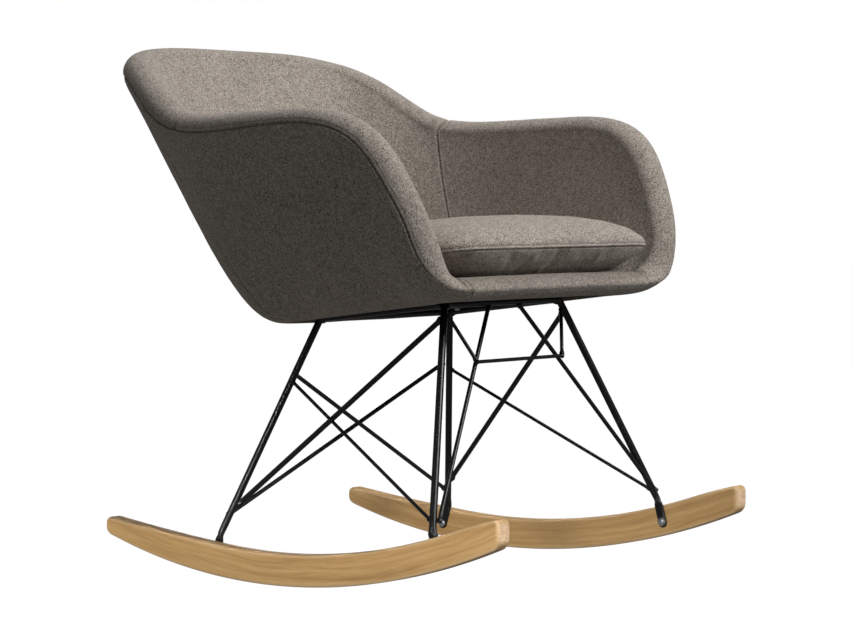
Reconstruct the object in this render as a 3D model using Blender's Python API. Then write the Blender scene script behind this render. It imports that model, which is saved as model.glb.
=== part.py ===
"""Upholstered rocking armchair: wooden rockers, black wire base, padded bucket shell, loose cushion.

Metres, +Z up, the sitter faces -Y, sitter's left is +X.  The rockers touch the floor at z = 0.
"""
import bpy
import math
import numpy as np
from mathutils import Vector

for old in list(bpy.data.objects):
    bpy.data.objects.remove(old, do_unlink=True)

# ---------------------------------------------------------------- driving dimensions
GAP = 0.0003                # clearance left between neighbouring bodies

ROCKER_LENGTH = 0.693
ROCKER_FRONT_Y = -0.4135    # front end of the rockers
ROCKER_OUTER_X = 0.236      # outer face of the left rocker
ROCKER_THICK = 0.022
ROCKER_R = 1.078            # radius of the running surface
CONTACT_Y = 0.008           # lowest point of the running surface
ROCKER_H = 0.0400           # height of the rocker in the middle
TAPER_REAR_Y = 0.060        # the rocker gets thinner behind this line
TAPER_FRONT_Y = -0.340      # and slightly in front of this one
ROCKER_EDGE_R = 0.005
ROCKER_STEP = 0.034         # length of one facet of the running surface

LEG_R = 0.0045
RAIL_R = 0.0045
HEAVY_R = 0.0034            # side brace from the rear foot to the front rail
CROSS_R = 0.0028            # crossed braces between the rear legs
LIGHT_R = 0.0022            # side brace from the rear leg down to the front foot
FRONT_R = 0.0027            # braces from the front rail to the front feet
HANGER_R = 0.0023           # small hanging stretcher under the front rail

# where the braces meet the legs: part of the leg's length, from its top to its bolt
HEAVY_AT = (0.812, 0.050)   # on the rear leg and on the front leg
TIE_AT = (0.262, 0.872)
CROSS_AT = (0.848, 0.232)   # on this side's rear leg and on the other one
FRONT_BRACE_AT = 0.86
HANGER_AT = 0.020
CROSS_SETBACK = 0.002       # the crossed braces sit behind the legs' middle
FRONT_BRACE_INSET = 0.0034
FRONT_BRACE_TOP_X = 0.0252  # distance of the front braces' tops from the middle
HANGER_Z = 0.2805           # height of the hanging stretcher
HANGER_OUT = 0.004
HANGER_PLAY = 0.0008
CORNER_GAP = 0.0012         # between a leg's top and the rails of the top frame

REAR_TOP = (0.1203, -0.0070, 0.3252)
FRONT_TOP = (0.1070, -0.2092, 0.3500)
REAR_FOOT_Y, REAR_FOOT_Z = 0.0885, 0.0232
FRONT_FOOT_Y, FRONT_FOOT_Z = -0.2985, 0.0625
TAB_THICK = 0.0040
TAB_HALF_W = 0.0062
TAB_HEIGHT = 0.030
BOLT_R = 0.0025
BOLT_HEAD_R = 0.0046
BOLT_DEPTH = 0.015          # length of the bolt inside the rocker
BORE_PLAY = 0.0002
WASHER_R = 0.0052
WASHER_THICK = 0.0010
ORIGIN_Y = 0.0410           # moves the finished chair so that its box is centred on the origin

SEAT_SLOPE = 0.127          # rise of the seat per metre towards the front
SEAT_Z = 0.3222             # underside of the padded edge at y = 0
WALL_T = 0.046              # thickness of the padded wall at its rim
FLOOR_T = 0.027             # padded edge thickness at seat level
RAIL_T = 0.034
RAIL_FLOOR_T = 0.015
CAP_H = 0.023               # height of the rolled rim
RAIL_CAP_H = 0.010
FOOT_INSET = 0.040          # how far the padding runs in under the seat
RAIL_FOOT_INSET = 0.008
BULGE = 0.010               # the sides swell outwards by this much, and the back inwards

CUSHION_HALF_W = 0.184      # at the welt, near the front
CUSHION_FRONT_Y = -0.311
CUSHION_REAR_Y = 0.078
CUSHION_TAPER = 0.14        # narrower at the back by this part
CUSHION_FLARE = 0.010       # and a little wider at the front edge
CUSHION_LOW = 0.0300        # underside above the seat plane
CUSHION_TOP = 0.1090        # highest point of the crown above the seat plane


def base_z(y):
    """Height of the tilted underside plane of the padded shell."""
    return SEAT_Z - SEAT_SLOPE * y


# ---------------------------------------------------------------- materials and mesh helpers
def material(name, colour, rough, metal=0.0):
    m = bpy.data.materials.new(name)
    m.use_nodes = True
    b = m.node_tree.nodes["Principled BSDF"]
    b.inputs["Base Color"].default_value = (*colour, 1.0)
    b.inputs["Roughness"].default_value = rough
    b.inputs["Metallic"].default_value = metal
    m.diffuse_color = (*colour, 1.0)
    return m


LOOK = {
    "wood": ((0.45, 0.29, 0.15), 0.5, 0.0),
    "steel": ((0.012, 0.012, 0.013), 0.38, 0.0),
    "zinc": ((0.62, 0.65, 0.68), 0.3, 1.0),
    "fabric": ((0.20, 0.17, 0.145), 0.95, 0.0),
    "lining": ((0.02, 0.02, 0.02), 0.95, 0.0),
    "plywood": ((0.50, 0.36, 0.20), 0.7, 0.0),
    "shell": ((0.10, 0.10, 0.10), 0.6, 0.0),
    "rubber": ((0.02, 0.02, 0.02), 0.8, 0.0),
}


def add(name, verts, faces, look, smooth=True):
    mesh = bpy.data.meshes.new(name)
    mesh.from_pydata([(float(v[0]), float(v[1]) + ORIGIN_Y, float(v[2])) for v in verts], [], faces)
    mesh.validate()
    mesh.update()
    volume = sum(f.area * f.normal.dot(f.center) for f in mesh.polygons)
    if volume < 0:
        mesh.flip_normals()
    ob = bpy.data.objects.new(name, mesh)
    bpy.context.scene.collection.objects.link(ob)
    mesh.materials.append(material(name + "_mat", *LOOK[look]))
    for f in mesh.polygons:
        f.use_smooth = smooth
    if smooth:
        mesh.set_sharp_from_angle(angle=math.radians(35))
    return ob


def loft(rings, flip=None, ladder=False):
    """Closed solid through equal-sized rings, flat at both ends.

    With flip set, side faces are cut into triangles; the first flip columns run up the wall and the
    rest down it, and both kinds get the same diagonal so that stacked layers stay parallel.
    ladder builds the ends as a row of narrow faces.
    """
    n = len(rings[0])
    verts = [p for ring in rings for p in ring]
    faces = []
    for i in range(len(rings) - 1):
        for j in range(n):
            k = (j + 1) % n
            a, b, c, d = i * n + j, i * n + k, (i + 1) * n + k, (i + 1) * n + j
            if flip is None:
                faces.append((a, b, c, d))
            elif j < flip:
                faces += [(a, b, d), (b, c, d)]
            else:
                faces += [(a, b, c), (a, c, d)]
    first, last = 0, (len(rings) - 1) * n
    if ladder:
        for j in range(n // 2 - 1):
            quad = (j, j + 1, n - 2 - j, n - 1 - j)
            faces.append(tuple(first + q for q in quad[::-1]))
            faces.append(tuple(last + q for q in quad))
    else:
        faces.append(tuple(first + j for j in range(n))[::-1])
        faces.append(tuple(last + j for j in range(n)))
    return verts, faces


def frame_of(direction):
    d = Vector(direction).normalized()
    side = d.cross(Vector((0, 0, 1)))
    if side.length < 0.05:
        side = d.cross(Vector((0, 1, 0)))
    side.normalize()
    return d, side, side.cross(d).normalized()


def circle(centre, u, v, ru, rv, n):
    return [centre + u * (ru * math.cos(2 * math.pi * i / n)) + v * (rv * math.sin(2 * math.pi * i / n))
            for i in range(n)]


def rod(name, a, b, r, n=10, look="steel"):
    """Straight round rod with a small chamfer at each end."""
    a, b = Vector(a), Vector(b)
    d, u, v = frame_of(b - a)
    c = r * 0.35
    rings = [circle(a, u, v, r - c, r - c, n), circle(a + d * c, u, v, r, r, n),
             circle(b - d * c, u, v, r, r, n), circle(b, u, v, r - c, r - c, n)]
    return add(name, *loft(rings), look)


def lathe(name, origin, axis, profile, n, look, closed_ring=False):
    """Turned body: profile is a list of (radius, distance along the axis)."""
    o = Vector(origin)
    d, u, v = frame_of(axis)
    rings = [circle(o + d * h, u, v, r, r, n) for r, h in profile]
    if not closed_ring:
        return add(name, *loft(rings), look)
    m = len(rings)
    verts = [p for ring in rings for p in ring]
    faces = [(i * n + j, i * n + (j + 1) % n, ((i + 1) % m) * n + (j + 1) % n, ((i + 1) % m) * n + j)
             for i in range(m) for j in range(n)]
    return add(name, verts, faces, look)


def drill(ob, origin, axis, r, length, n=14):
    """Cut a round bore, starting half a millimetre outside the surface."""
    o = Vector(origin)
    d, u, v = frame_of(axis)
    rings = [circle(o - d * 0.0005, u, v, r, r, n), circle(o + d * length, u, v, r, r, n)]
    verts, faces = loft(rings)
    mesh = bpy.data.meshes.new(ob.name + "_cut")
    mesh.from_pydata([(p[0], p[1] + ORIGIN_Y, p[2]) for p in verts], [], faces)
    mesh.update()
    if sum(f.area * f.normal.dot(f.center) for f in mesh.polygons) < 0:
        mesh.flip_normals()
    cutter = bpy.data.objects.new(ob.name + "_cut%d" % len(ob.modifiers), mesh)
    bpy.context.scene.collection.objects.link(cutter)
    cutter.hide_render = True
    cutter.display_type = "WIRE"
    mod = ob.modifiers.new("bore%d" % len(ob.modifiers), "BOOLEAN")
    mod.operation = "DIFFERENCE"
    mod.solver = "EXACT"
    mod.object = cutter


# ---------------------------------------------------------------- rockers
def rocker_bottom(y):
    """Running surface; the facet under the contact point lies flat on the floor."""
    sagitta = ROCKER_STEP ** 2 / (8 * ROCKER_R)
    return ROCKER_R - math.sqrt(ROCKER_R ** 2 - (y - CONTACT_Y) ** 2) - sagitta


def rocker_top(y):
    rear = max(0.0, (y - TAPER_REAR_Y) / 0.22)
    front = max(0.0, (TAPER_FRONT_Y - y) / 0.08)
    return rocker_bottom(y) + ROCKER_H * (1 - 0.44 * rear ** 2) * (1 - 0.18 * front ** 2)


def rocker(side):
    """Bent laminated wood rocker with rounded edges and softly rounded ends."""
    s = 1 if side == "left" else -1
    x0 = s * (ROCKER_OUTER_X - ROCKER_THICK / 2)
    rear_y = ROCKER_FRONT_Y + ROCKER_LENGTH
    # distance in from the end, part of the full section there
    ends = [(0.0, 0.62), (0.0028, 0.86), (0.008, 1.0)]
    middle = [CONTACT_Y + (k + 0.5) * ROCKER_STEP for k in range(-20, 20)]
    y_list = [(ROCKER_FRONT_Y + d, k) for d, k in ends]
    y_list += [(y, 1.0) for y in middle if ROCKER_FRONT_Y + 0.02 < y < rear_y - 0.02]
    y_list += [(rear_y - d, k) for d, k in reversed(ends)]
    sections = []
    for y, k in y_list:
        zb, zt = rocker_bottom(y), rocker_top(y)
        zm, h = (zb + zt) / 2, (zt - zb) / 2 * (0.55 + 0.45 * k)
        w = ROCKER_THICK / 2 * (0.7 + 0.3 * k)
        ring = []
        e = ROCKER_EDGE_R
        for cx, cz, a0 in ((1, 1, 0), (-1, 1, 90), (-1, -1, 180), (1, -1, 270)):
            for a in (0, 45, 90):
                t = math.radians(a0 + a)
                ring.append((x0 + cx * (w - e) + e * math.cos(t), y, zm + cz * (h - e) + e * math.sin(t)))
        sections.append(ring)
    return add("rocker_" + side, *loft(sections), "wood")


# ---------------------------------------------------------------- wire base
SIDES = (("right", -1), ("left", 1))
ENDS = ("rear", "front")
TAB_X = ROCKER_OUTER_X - ROCKER_THICK - GAP - TAB_THICK / 2


def mirror(p, s):
    return Vector((s * p[0], p[1], p[2]))


def leg_axis(end, s):
    """Top point and the point where the round rod turns into the flat tab."""
    top = mirror(REAR_TOP if end == "rear" else FRONT_TOP, s)
    fy, fz = (REAR_FOOT_Y, REAR_FOOT_Z) if end == "rear" else (FRONT_FOOT_Y, FRONT_FOOT_Z)
    hole = Vector((s * TAB_X, fy, fz))
    lean = (top - hole)
    lean.x = 0.0
    lean.normalize()
    return top, hole + lean * TAB_HEIGHT, hole, lean


def along(end, s, f):
    """Point on a leg; f runs from 0 at the top to 1 at the bolt."""
    top, neck, hole, _ = leg_axis(end, s)
    whole = (top - neck).length + (neck - hole).length
    k = f * whole / (top - neck).length
    return top.lerp(neck, k)


def leg(end, side, s):
    """Round leg, flattened at the foot into a drilled tab that lies on the rocker."""
    top, neck, hole, lean = leg_axis(end, s)
    d, u, v = frame_of(neck - top)
    flat = Vector((1, 0, 0))
    wide = Vector((0, -lean.z, lean.y))
    if u.dot(wide) < 0:
        u = -u
    v = d.cross(u)
    thick = flat if v.dot(flat) > 0 else -flat
    n = 12
    up = -d
    rings = []

    def ring(c, a, b, ra, rb, power=1.0):
        pts = []
        for i in range(n):
            t = 2 * math.pi * i / n
            ct, st = math.cos(t), math.sin(t)
            pts.append(c + a * (ra * math.copysign(abs(ct) ** power, ct))
                       + b * (rb * math.copysign(abs(st) ** power, st)))
        return pts

    c = LEG_R * 0.35
    rings.append(ring(top, u, v, LEG_R - c, LEG_R - c))
    rings.append(ring(top - up * c, u, v, LEG_R, LEG_R))
    rings.append(ring(neck + up * 0.012, u, v, LEG_R, LEG_R))
    rings.append(ring(neck + up * 0.004, u, v, LEG_R * 1.12, LEG_R * 0.9))
    mid_a = (u + wide).normalized()
    mid_b = (v + thick).normalized()
    rings.append(ring(neck - lean * 0.004, mid_a, mid_b, LEG_R * 1.3, TAB_THICK * 0.56, 0.85))
    rings.append(ring(neck - lean * 0.010, wide, thick, TAB_HALF_W, TAB_THICK / 2, 0.45))
    bottom = -TAB_HALF_W - 0.0012
    for ang in (0, 40, 75):
        t = math.radians(ang)
        z = bottom + (TAB_HALF_W) * (1 - math.sin(t))
        half_w = max(TAB_HALF_W * math.cos(t), 0.0018)
        rings.append(ring(hole + lean * z, wide, thick, half_w, TAB_THICK / 2, 0.45))
    ob = add("leg_%s_%s" % (end, side), *loft(rings), "steel")
    drill(ob, (s * (TAB_X - TAB_THICK), hole.y, hole.z), (s, 0, 0), BOLT_R + BORE_PLAY, 3 * TAB_THICK)


def trimmed(node, towards, r, leg_dir, leg_r, extra=0.0):
    """Start of a brace: stands clear of the leg surface by the small gap."""
    d = (towards - node).normalized()
    cos_t = abs(d.dot(leg_dir.normalized()))
    sin_t = math.sqrt(max(1e-6, 1 - cos_t * cos_t))
    return node + d * ((leg_r + GAP + r * cos_t) / sin_t + extra)


def brace(name, end_a, s_a, f_a, end_b, s_b, f_b, r, shift=(0, 0, 0)):
    """Straight brace between points on two legs."""
    a, b = along(end_a, s_a, f_a), along(end_b, s_b, f_b)
    da = leg_axis(end_a, s_a)[1] - leg_axis(end_a, s_a)[0]
    db = leg_axis(end_b, s_b)[1] - leg_axis(end_b, s_b)[0]
    off = Vector(shift)
    p = trimmed(a, b, r, da, LEG_R) + off
    q = trimmed(b, a, r, db, LEG_R) + off
    return rod(name, p, q, r)


def bolt(end, side, s):
    _, _, hole, _ = leg_axis(end, s)
    face = s * (TAB_X - TAB_THICK / 2)
    o = (face, hole.y, hole.z)
    h = WASHER_THICK + 2 * GAP
    bore = BOLT_R + BORE_PLAY
    lathe("foot_washer_%s_%s" % (end, side), o, (-s, 0, 0),
          [(bore, GAP), (WASHER_R, GAP), (WASHER_R, GAP + WASHER_THICK), (bore, GAP + WASHER_THICK)],
          14, "zinc", closed_ring=True)
    head = [(BOLT_R, -(TAB_THICK + GAP + BOLT_DEPTH)), (BOLT_R, h),
            (BOLT_HEAD_R, h), (BOLT_HEAD_R, h + 0.0014),
            (BOLT_HEAD_R * 0.8, h + 0.0026), (BOLT_HEAD_R * 0.35, h + 0.0031)]
    lathe("foot_bolt_%s_%s" % (end, side), o, (-s, 0, 0), head, 14, "zinc")


def side_braces(side, s):
    """Heavy and light brace of one side; where they cross they are moved apart to just touch."""
    heavy = along("rear", s, HEAVY_AT[0]), along("front", s, HEAVY_AT[1])
    tie = along("rear", s, TIE_AT[0]), along("front", s, TIE_AT[1])
    n = (heavy[1] - heavy[0]).cross(tie[1] - tie[0]).normalized()
    if n.x * s < 0:
        n = -n
    apart = (tie[0] - heavy[0]).dot(n)
    move = n * ((HEAVY_R + LIGHT_R + 2 * GAP - apart) / 2)
    brace("side_brace_" + side, "rear", s, HEAVY_AT[0], "front", s, HEAVY_AT[1], HEAVY_R, -move)
    brace("side_tie_" + side, "rear", s, TIE_AT[0], "front", s, TIE_AT[1], LIGHT_R, move)


def rear_cross(side, s):
    """The right one passes behind the left one."""
    back = CROSS_SETBACK + ((2 * CROSS_R + GAP) if side == "right" else 0.0)
    brace("rear_cross_" + side, "rear", s, CROSS_AT[0], "rear", -s, CROSS_AT[1], CROSS_R, (0, back, 0))


def front_braces(side, s):
    """Brace from the front rail to the front foot, and the side of the hanging stretcher."""
    low = front_brace_foot(s)
    high = trimmed(front_brace_top(s), low, FRONT_R, Vector((1, 0, 0)), RAIL_R)
    rod("front_brace_" + side, high, low, FRONT_R)
    corner = hanger_corner(s)
    leg_dir = leg_axis("front", s)[1] - leg_axis("front", s)[0]
    p = trimmed(along("front", s, HANGER_AT), corner, HANGER_R, leg_dir, LEG_R, 0.001)
    d = (corner - p).normalized()
    rod("hanger_" + side, p, corner - d * (2 * HANGER_R + GAP), HANGER_R)


def top_frame():
    """Rectangle under the seat, between the tops of the four legs."""
    for side, s in SIDES:
        a, b = mirror(REAR_TOP, s), mirror(FRONT_TOP, s)
        d = (b - a).normalized() * (LEG_R + CORNER_GAP)
        rod("top_rail_" + side, a + d, b - d, RAIL_R)
    for end, top in (("rear", REAR_TOP), ("front", FRONT_TOP)):
        x = top[0] - LEG_R - CORNER_GAP
        rod("top_rail_" + end, (-x, top[1], top[2]), (x, top[1], top[2]), RAIL_R)


def foot(end, side, s, wood):
    """Leg, its bolt and washer, and the bore for the bolt in the rocker."""
    leg(end, side, s)
    hole = leg_axis(end, s)[2]
    inner = s * (ROCKER_OUTER_X - ROCKER_THICK)
    drill(wood, (inner, hole.y, hole.z), (s, 0, 0), BOLT_R + BORE_PLAY, BOLT_DEPTH + 0.001)
    bolt(end, side, s)


def wire_base():
    for side, s in SIDES:
        wood = rocker(side)
        for end in ENDS:
            foot(end, side, s, wood)
    top_frame()
    for side, s in SIDES:
        side_braces(side, s)
        rear_cross(side, s)
        front_braces(side, s)
    c = hanger_corner(1)
    rod("hanger_stretcher", (-c.x, c.y, c.z), c, HANGER_R)


def front_brace_foot(s):
    """The front brace runs down in front of the leg and is welded to its front face."""
    return along("front", s, FRONT_BRACE_AT) + Vector((-s * FRONT_BRACE_INSET, -(LEG_R + FRONT_R), 0))


def front_brace_top(s):
    return Vector((s * FRONT_BRACE_TOP_X, FRONT_TOP[1], FRONT_TOP[2]))


def hanger_corner(s):
    """Corner of the hanging stretcher, just in front of the front brace."""
    top = front_brace_top(s)
    low = front_brace_foot(s)
    k = (top.z - HANGER_Z) / (top.z - low.z)
    p = top.lerp(low, k)
    return Vector((p.x + s * HANGER_OUT, p.y - (FRONT_R + HANGER_R + HANGER_PLAY), p.z))


# ---------------------------------------------------------------- padded shell surfaces
# half of the rim line, from the middle of the back round to the middle of the front rail:
# rim point (x, y, z), underside edge point (x, y)
STATIONS = [
    (0.000, 0.3090, 0.6550, 0.000, 0.0950),
    (0.095, 0.3040, 0.6540, 0.092, 0.0905),
    (0.162, 0.2860, 0.6465, 0.150, 0.0730),
    (0.201, 0.2410, 0.6275, 0.179, 0.0460),
    (0.223, 0.1800, 0.5900, 0.191, 0.0150),
    (0.237, 0.1120, 0.5620, 0.197, -0.0180),
    (0.251, 0.0100, 0.5590, 0.199, -0.0700),
    (0.2575, -0.0900, 0.5625, 0.200, -0.1200),
    (0.2580, -0.1650, 0.5600, 0.200, -0.1650),
    (0.2500, -0.2165, 0.5375, 0.200, -0.2000),
    (0.2395, -0.2500, 0.4900, 0.199, -0.2300),
    (0.2290, -0.2725, 0.4420, 0.1975, -0.2500),
    (0.2180, -0.2865, 0.4090, 0.1920, -0.2680),
    (0.1970, -0.2935, 0.3870, 0.1780, -0.2810),
    (0.1660, -0.2935, 0.3775, 0.1540, -0.2870),
    (0.1200, -0.2925, 0.3755, 0.1200, -0.2885),
]
S_BACK_SEAM = 4.0           # station of the seam between back panel and side panel
S_ARM_SEAM = 5.0            # station of the inner seam between back and arm
SEAM_LEAN = 1.3             # the foot of that seam sits this many stations further back
S_END = 14.0
SEAM_GAP = 0.016            # half the gap between panels, in stations


def spline(values):
    """Natural cubic spline through equally spaced values."""
    v = np.asarray(values, float)
    n = len(v)
    a = np.zeros((n, n))
    a[0, 0] = a[-1, -1] = 1
    r = np.zeros_like(v)
    for i in range(1, n - 1):
        a[i, i - 1:i + 2] = (1, 4, 1)
        r[i] = 6 * (v[i - 1] - 2 * v[i] + v[i + 1])
    m = np.linalg.solve(a, r)

    def at(t):
        t = np.clip(t, 0, n - 1)
        i = min(int(t), n - 2)
        f = t - i
        g = 1 - f
        return g * v[i] + f * v[i + 1] + ((g ** 3 - g) * m[i] + (f ** 3 - f) * m[i + 1]) / 6
    return at


def full(rows):
    """The whole line, from the mirrored half and the half itself."""
    left = np.array(rows, float)
    right = left[1:].copy()
    right[:, [0, 3]] *= -1
    return np.vstack([right[::-1], left])


LINES = spline(full(STATIONS))
MID = len(STATIONS) - 1


def rim(s):
    q = LINES(s + MID)
    return q[:3]


def edge(s):
    q = LINES(s + MID)
    return np.array([q[3], q[4], base_z(q[4])])


def unit(v):
    return v / np.linalg.norm(v)


def ease(x):
    x = min(1.0, max(0.0, x))
    return x * x * (3 - 2 * x)


def section_frame(s):
    """Outward directions at the rim and at the underside edge, and the way up out of the rim."""
    h = 0.02
    tr = unit(rim(s + h) - rim(s - h))
    te = edge(s + h) - edge(s - h)
    te[2] = 0
    te = unit(te)
    up = rim(s) - edge(s)
    out_e = np.array([te[1], -te[0], 0.0])
    if out_e @ (rim(s) * (1, 1, 0) - np.array([0, -0.05, 0])) < 0:
        out_e = -out_e
    n = unit(np.cross(tr, up))
    if n @ out_e < 0:
        n = -n
    cap = unit(np.cross(n, tr))
    if cap @ up < 0:
        cap = -cap
    return n, out_e, cap


def bezier(p, t):
    g = 1 - t
    return g ** 3 * p[0] + 3 * g * g * t * p[1] + 3 * g * t * t * p[2] + t ** 3 * p[3]


def wall(s):
    """Outer and inner wall curves of one section, with the cap direction."""
    n, out_e, cap = section_frame(s)
    front = ease((abs(s) - 10.5) / 3.0)
    t_rim = WALL_T + (RAIL_T - WALL_T) * front
    inset = FOOT_INSET + (RAIL_FOOT_INSET - FOOT_INSET) * front
    r, e = rim(s), edge(s)
    foot = e - out_e * inset
    foot[2] = base_z(foot[1])
    side = ease((abs(s) - 4.0) / 2.5)
    bulge = BULGE * (1 - front) * side - BULGE * (1 - side)
    o1 = e + out_e * t_rim * (0.46 - 0.16 * side)
    o1[2] = base_z(o1[1])
    o3 = r + n * t_rim / 2
    o2 = o1 + (o3 - o1) * (0.28 + 0.12 * side) + n * bulge
    floor = FLOOR_T + (RAIL_FLOOR_T - FLOOR_T) * front
    i0 = foot + np.array([0, 0, floor])
    i1 = e - out_e * t_rim * (0.44 - 0.15 * front)
    i1[2] = base_z(i1[1]) + floor
    i3 = r - n * t_rim / 2
    i2 = i1 + (i3 - i1) * 0.40 + n * bulge * 0.8
    return (foot, o1, o2, o3), (i0, i1, i2, i3), cap * (CAP_H + (RAIL_CAP_H - CAP_H) * front)


WALL_CACHE = {}


def point(s, t, w):
    """Shell coordinates to space: s round the shell, t up the wall, w from outside to inside."""
    key = round(s, 6)
    if key not in WALL_CACHE:
        WALL_CACHE[key] = wall(s)
    o, i, cap = WALL_CACHE[key]
    if t <= 1:
        return bezier(o, t) * (1 - w) + bezier(i, t) * w
    return o[3] * (1 - w) + i[3] * w + cap * (t - 1)


def stations_between(s0, s1):
    """Section positions: the ends plus a common grid, so neighbouring layers share their facets."""
    grid = [k / 2 for k in range(-29, 30)]
    lo, hi = min(s0, s1), max(s0, s1)
    inner = [g for g in grid if lo + 0.12 < g < hi - 0.12]
    out = [lo] + inner + [hi]
    return out if s1 > s0 else out[::-1]


def sweep(name, s0, s1, outline, look, lean0=0.0, lean1=0.0):
    """Shell layer: a closed outline in (w, t) carried from s0 to s1.

    lean0 and lean1 move the foot of an end along the shell, so that a seam can stand upright.
    """
    sign = 1 if s1 > s0 else -1
    a, b = s0 + sign * SEAM_GAP, s1 - sign * SEAM_GAP
    rings = []
    for g in stations_between(a, b):
        f = (g - a) / (b - a)
        ring = []
        for w, t in outline:
            low = 1 - min(t, 1.0)
            near0, near1 = max(0.0, 1 - f * 3), max(0.0, 1 - (1 - f) * 3)
            ring.append(point(g + low * (lean0 * near0 + lean1 * near1), t, w))
        rings.append(ring)
    return add(name, *loft(rings, len(outline) // 2, True), look)


ROWS = 6                    # facets up the wall
CAP_STEPS = 6               # facets round the rolled rim


def layer(w0, w1, t_top):
    """Outline of a flat layer between two depths in the wall."""
    ts = [t_top * k / ROWS for k in range(ROWS + 1)]
    return [(w0, t) for t in ts] + [(w1, t) for t in reversed(ts)]


def lined_pad(w0):
    """Inner pad that rolls over the rim and down to the outer seam."""
    ts = [k / ROWS for k in range(ROWS + 1)]
    arc = [math.pi * k / CAP_STEPS for k in range(1, CAP_STEPS)]
    face = [(1.0, t) for t in ts] + [(0.5 + 0.5 * math.cos(a), 1 + math.sin(a)) for a in arc] + [(0.0, 1.15)]
    back = [(w0, t) for t in ts[:-1]] + [(w0 * (1 - k / CAP_STEPS), 1.05) for k in range(CAP_STEPS + 1)]
    return face + back[::-1]


def padded_shell():
    top = 0.985             # the flat layers end just under the rolled rim
    sweep("outer_back_panel", -S_BACK_SEAM, S_BACK_SEAM, layer(0.0, 0.23, top), "fabric")
    sweep("shell_core_back", -S_BACK_SEAM, S_BACK_SEAM, layer(0.245, 0.42, top), "shell")
    sweep("inner_back_pad", -S_ARM_SEAM, S_ARM_SEAM, lined_pad(0.45), "fabric", SEAM_LEAN, -SEAM_LEAN)
    for side, s in SIDES:
        sweep("outer_side_panel_" + side, s * S_BACK_SEAM, s * S_END, layer(0.0, 0.23, top), "fabric")
        sweep("shell_core_" + side, s * S_BACK_SEAM, s * S_END, layer(0.245, 0.42, top), "shell")
        sweep("arm_pad_" + side, s * S_ARM_SEAM, s * S_END, lined_pad(0.45), "fabric", -s * SEAM_LEAN)


def floor_outline(shrink):
    """Plan outline inside the padded wall, open side closed along the front rail."""
    pts = []
    for s in stations_between(-S_END, S_END):
        p = point(s, 0.0, 0.0)
        _, out_e, _ = section_frame(s)
        q = p - out_e * (shrink + 0.0045 * ease((abs(s) - 10.5) / 3.0))
        pts.append((q[0], q[1]))
    return pts


def plate(name, outline, low, high, look):
    n = len(outline)
    verts = [(x, y, base_z(y) + low) for x, y in outline] + [(x, y, base_z(y) + high) for x, y in outline]
    faces = [tuple(range(n))[::-1], tuple(range(n, 2 * n))]
    faces += [(j, (j + 1) % n, n + (j + 1) % n, n + j) for j in range(n)]
    return add(name, verts, faces, look, smooth=False)


MOUNTS = [(0.0985, -0.040), (0.0915, -0.170)]     # rear and front mounting screws
MOUNT_HOLE_R = 0.0024


def seat_floor():
    outline = floor_outline(0.0008)
    cover = plate("dust_cover", outline, 0.0110, 0.0122, "lining")
    board = plate("seat_board", outline, 0.0125, 0.0205, "plywood")
    plate("seat_deck_pad", outline, 0.0208, 0.0268, "fabric")
    for side, s in SIDES:
        for end, (x, y) in zip(("rear", "front"), MOUNTS):
            up = Vector((0, SEAT_SLOPE, 1)).normalized()
            o = Vector((s * x, y, base_z(y) + 0.0110))
            for ob, depth in ((cover, 0.004), (board, 0.0075)):
                drill(ob, o - up * 0.001, up, 0.0022, depth + 0.001)
            tag = "_%s_%s" % (end, side)
            ring_body("mount_pad" + tag, o, -up, 0.0080, 0.0010, 0.0042, "rubber")
            ring_body("mount_tab" + tag, o, -up, 0.0095, 0.0046, 0.0062, "steel")
            shank, head = 0.0019, 0.0040
            lathe("mount_screw" + tag, o, up,
                  [(shank - 0.0001, 0.0055), (shank, -0.0066), (head, -0.0066), (head, -0.0076),
                   (0.6 * head, -0.0090)], 12, "zinc")


def ring_body(name, origin, axis, outer, low, high, look):
    """Washer-shaped body round a screw."""
    lathe(name, origin, axis, [(MOUNT_HOLE_R, low), (outer, low), (outer, high), (MOUNT_HOLE_R, high)],
          12, look, True)


def front_rail():
    """Padded rail across the front, closing the shell between the two arm ends."""
    arc = [math.pi * k / 8 for k in range(1, 8)]
    outline = [(0.0, k / 4) for k in range(5)]
    outline += [(0.5 - 0.5 * math.cos(a), 1 + math.sin(a)) for a in arc]
    outline += [(1.0, 1 - k / 4) for k in range(5)]
    end = [point(S_END + 0.05, t, w) for w, t in outline]
    rings = []
    steps = 10
    for k in range(steps + 1):
        f = 1 - 2 * k / steps
        rise = 0.0015 * (1 - f * f)
        rings.append([(f * p[0], p[1], p[2] + rise * max(0.0, (p[2] - base_z(p[1])) / 0.03)) for p in end])
    add("front_rail", *loft(rings), "fabric")


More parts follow.
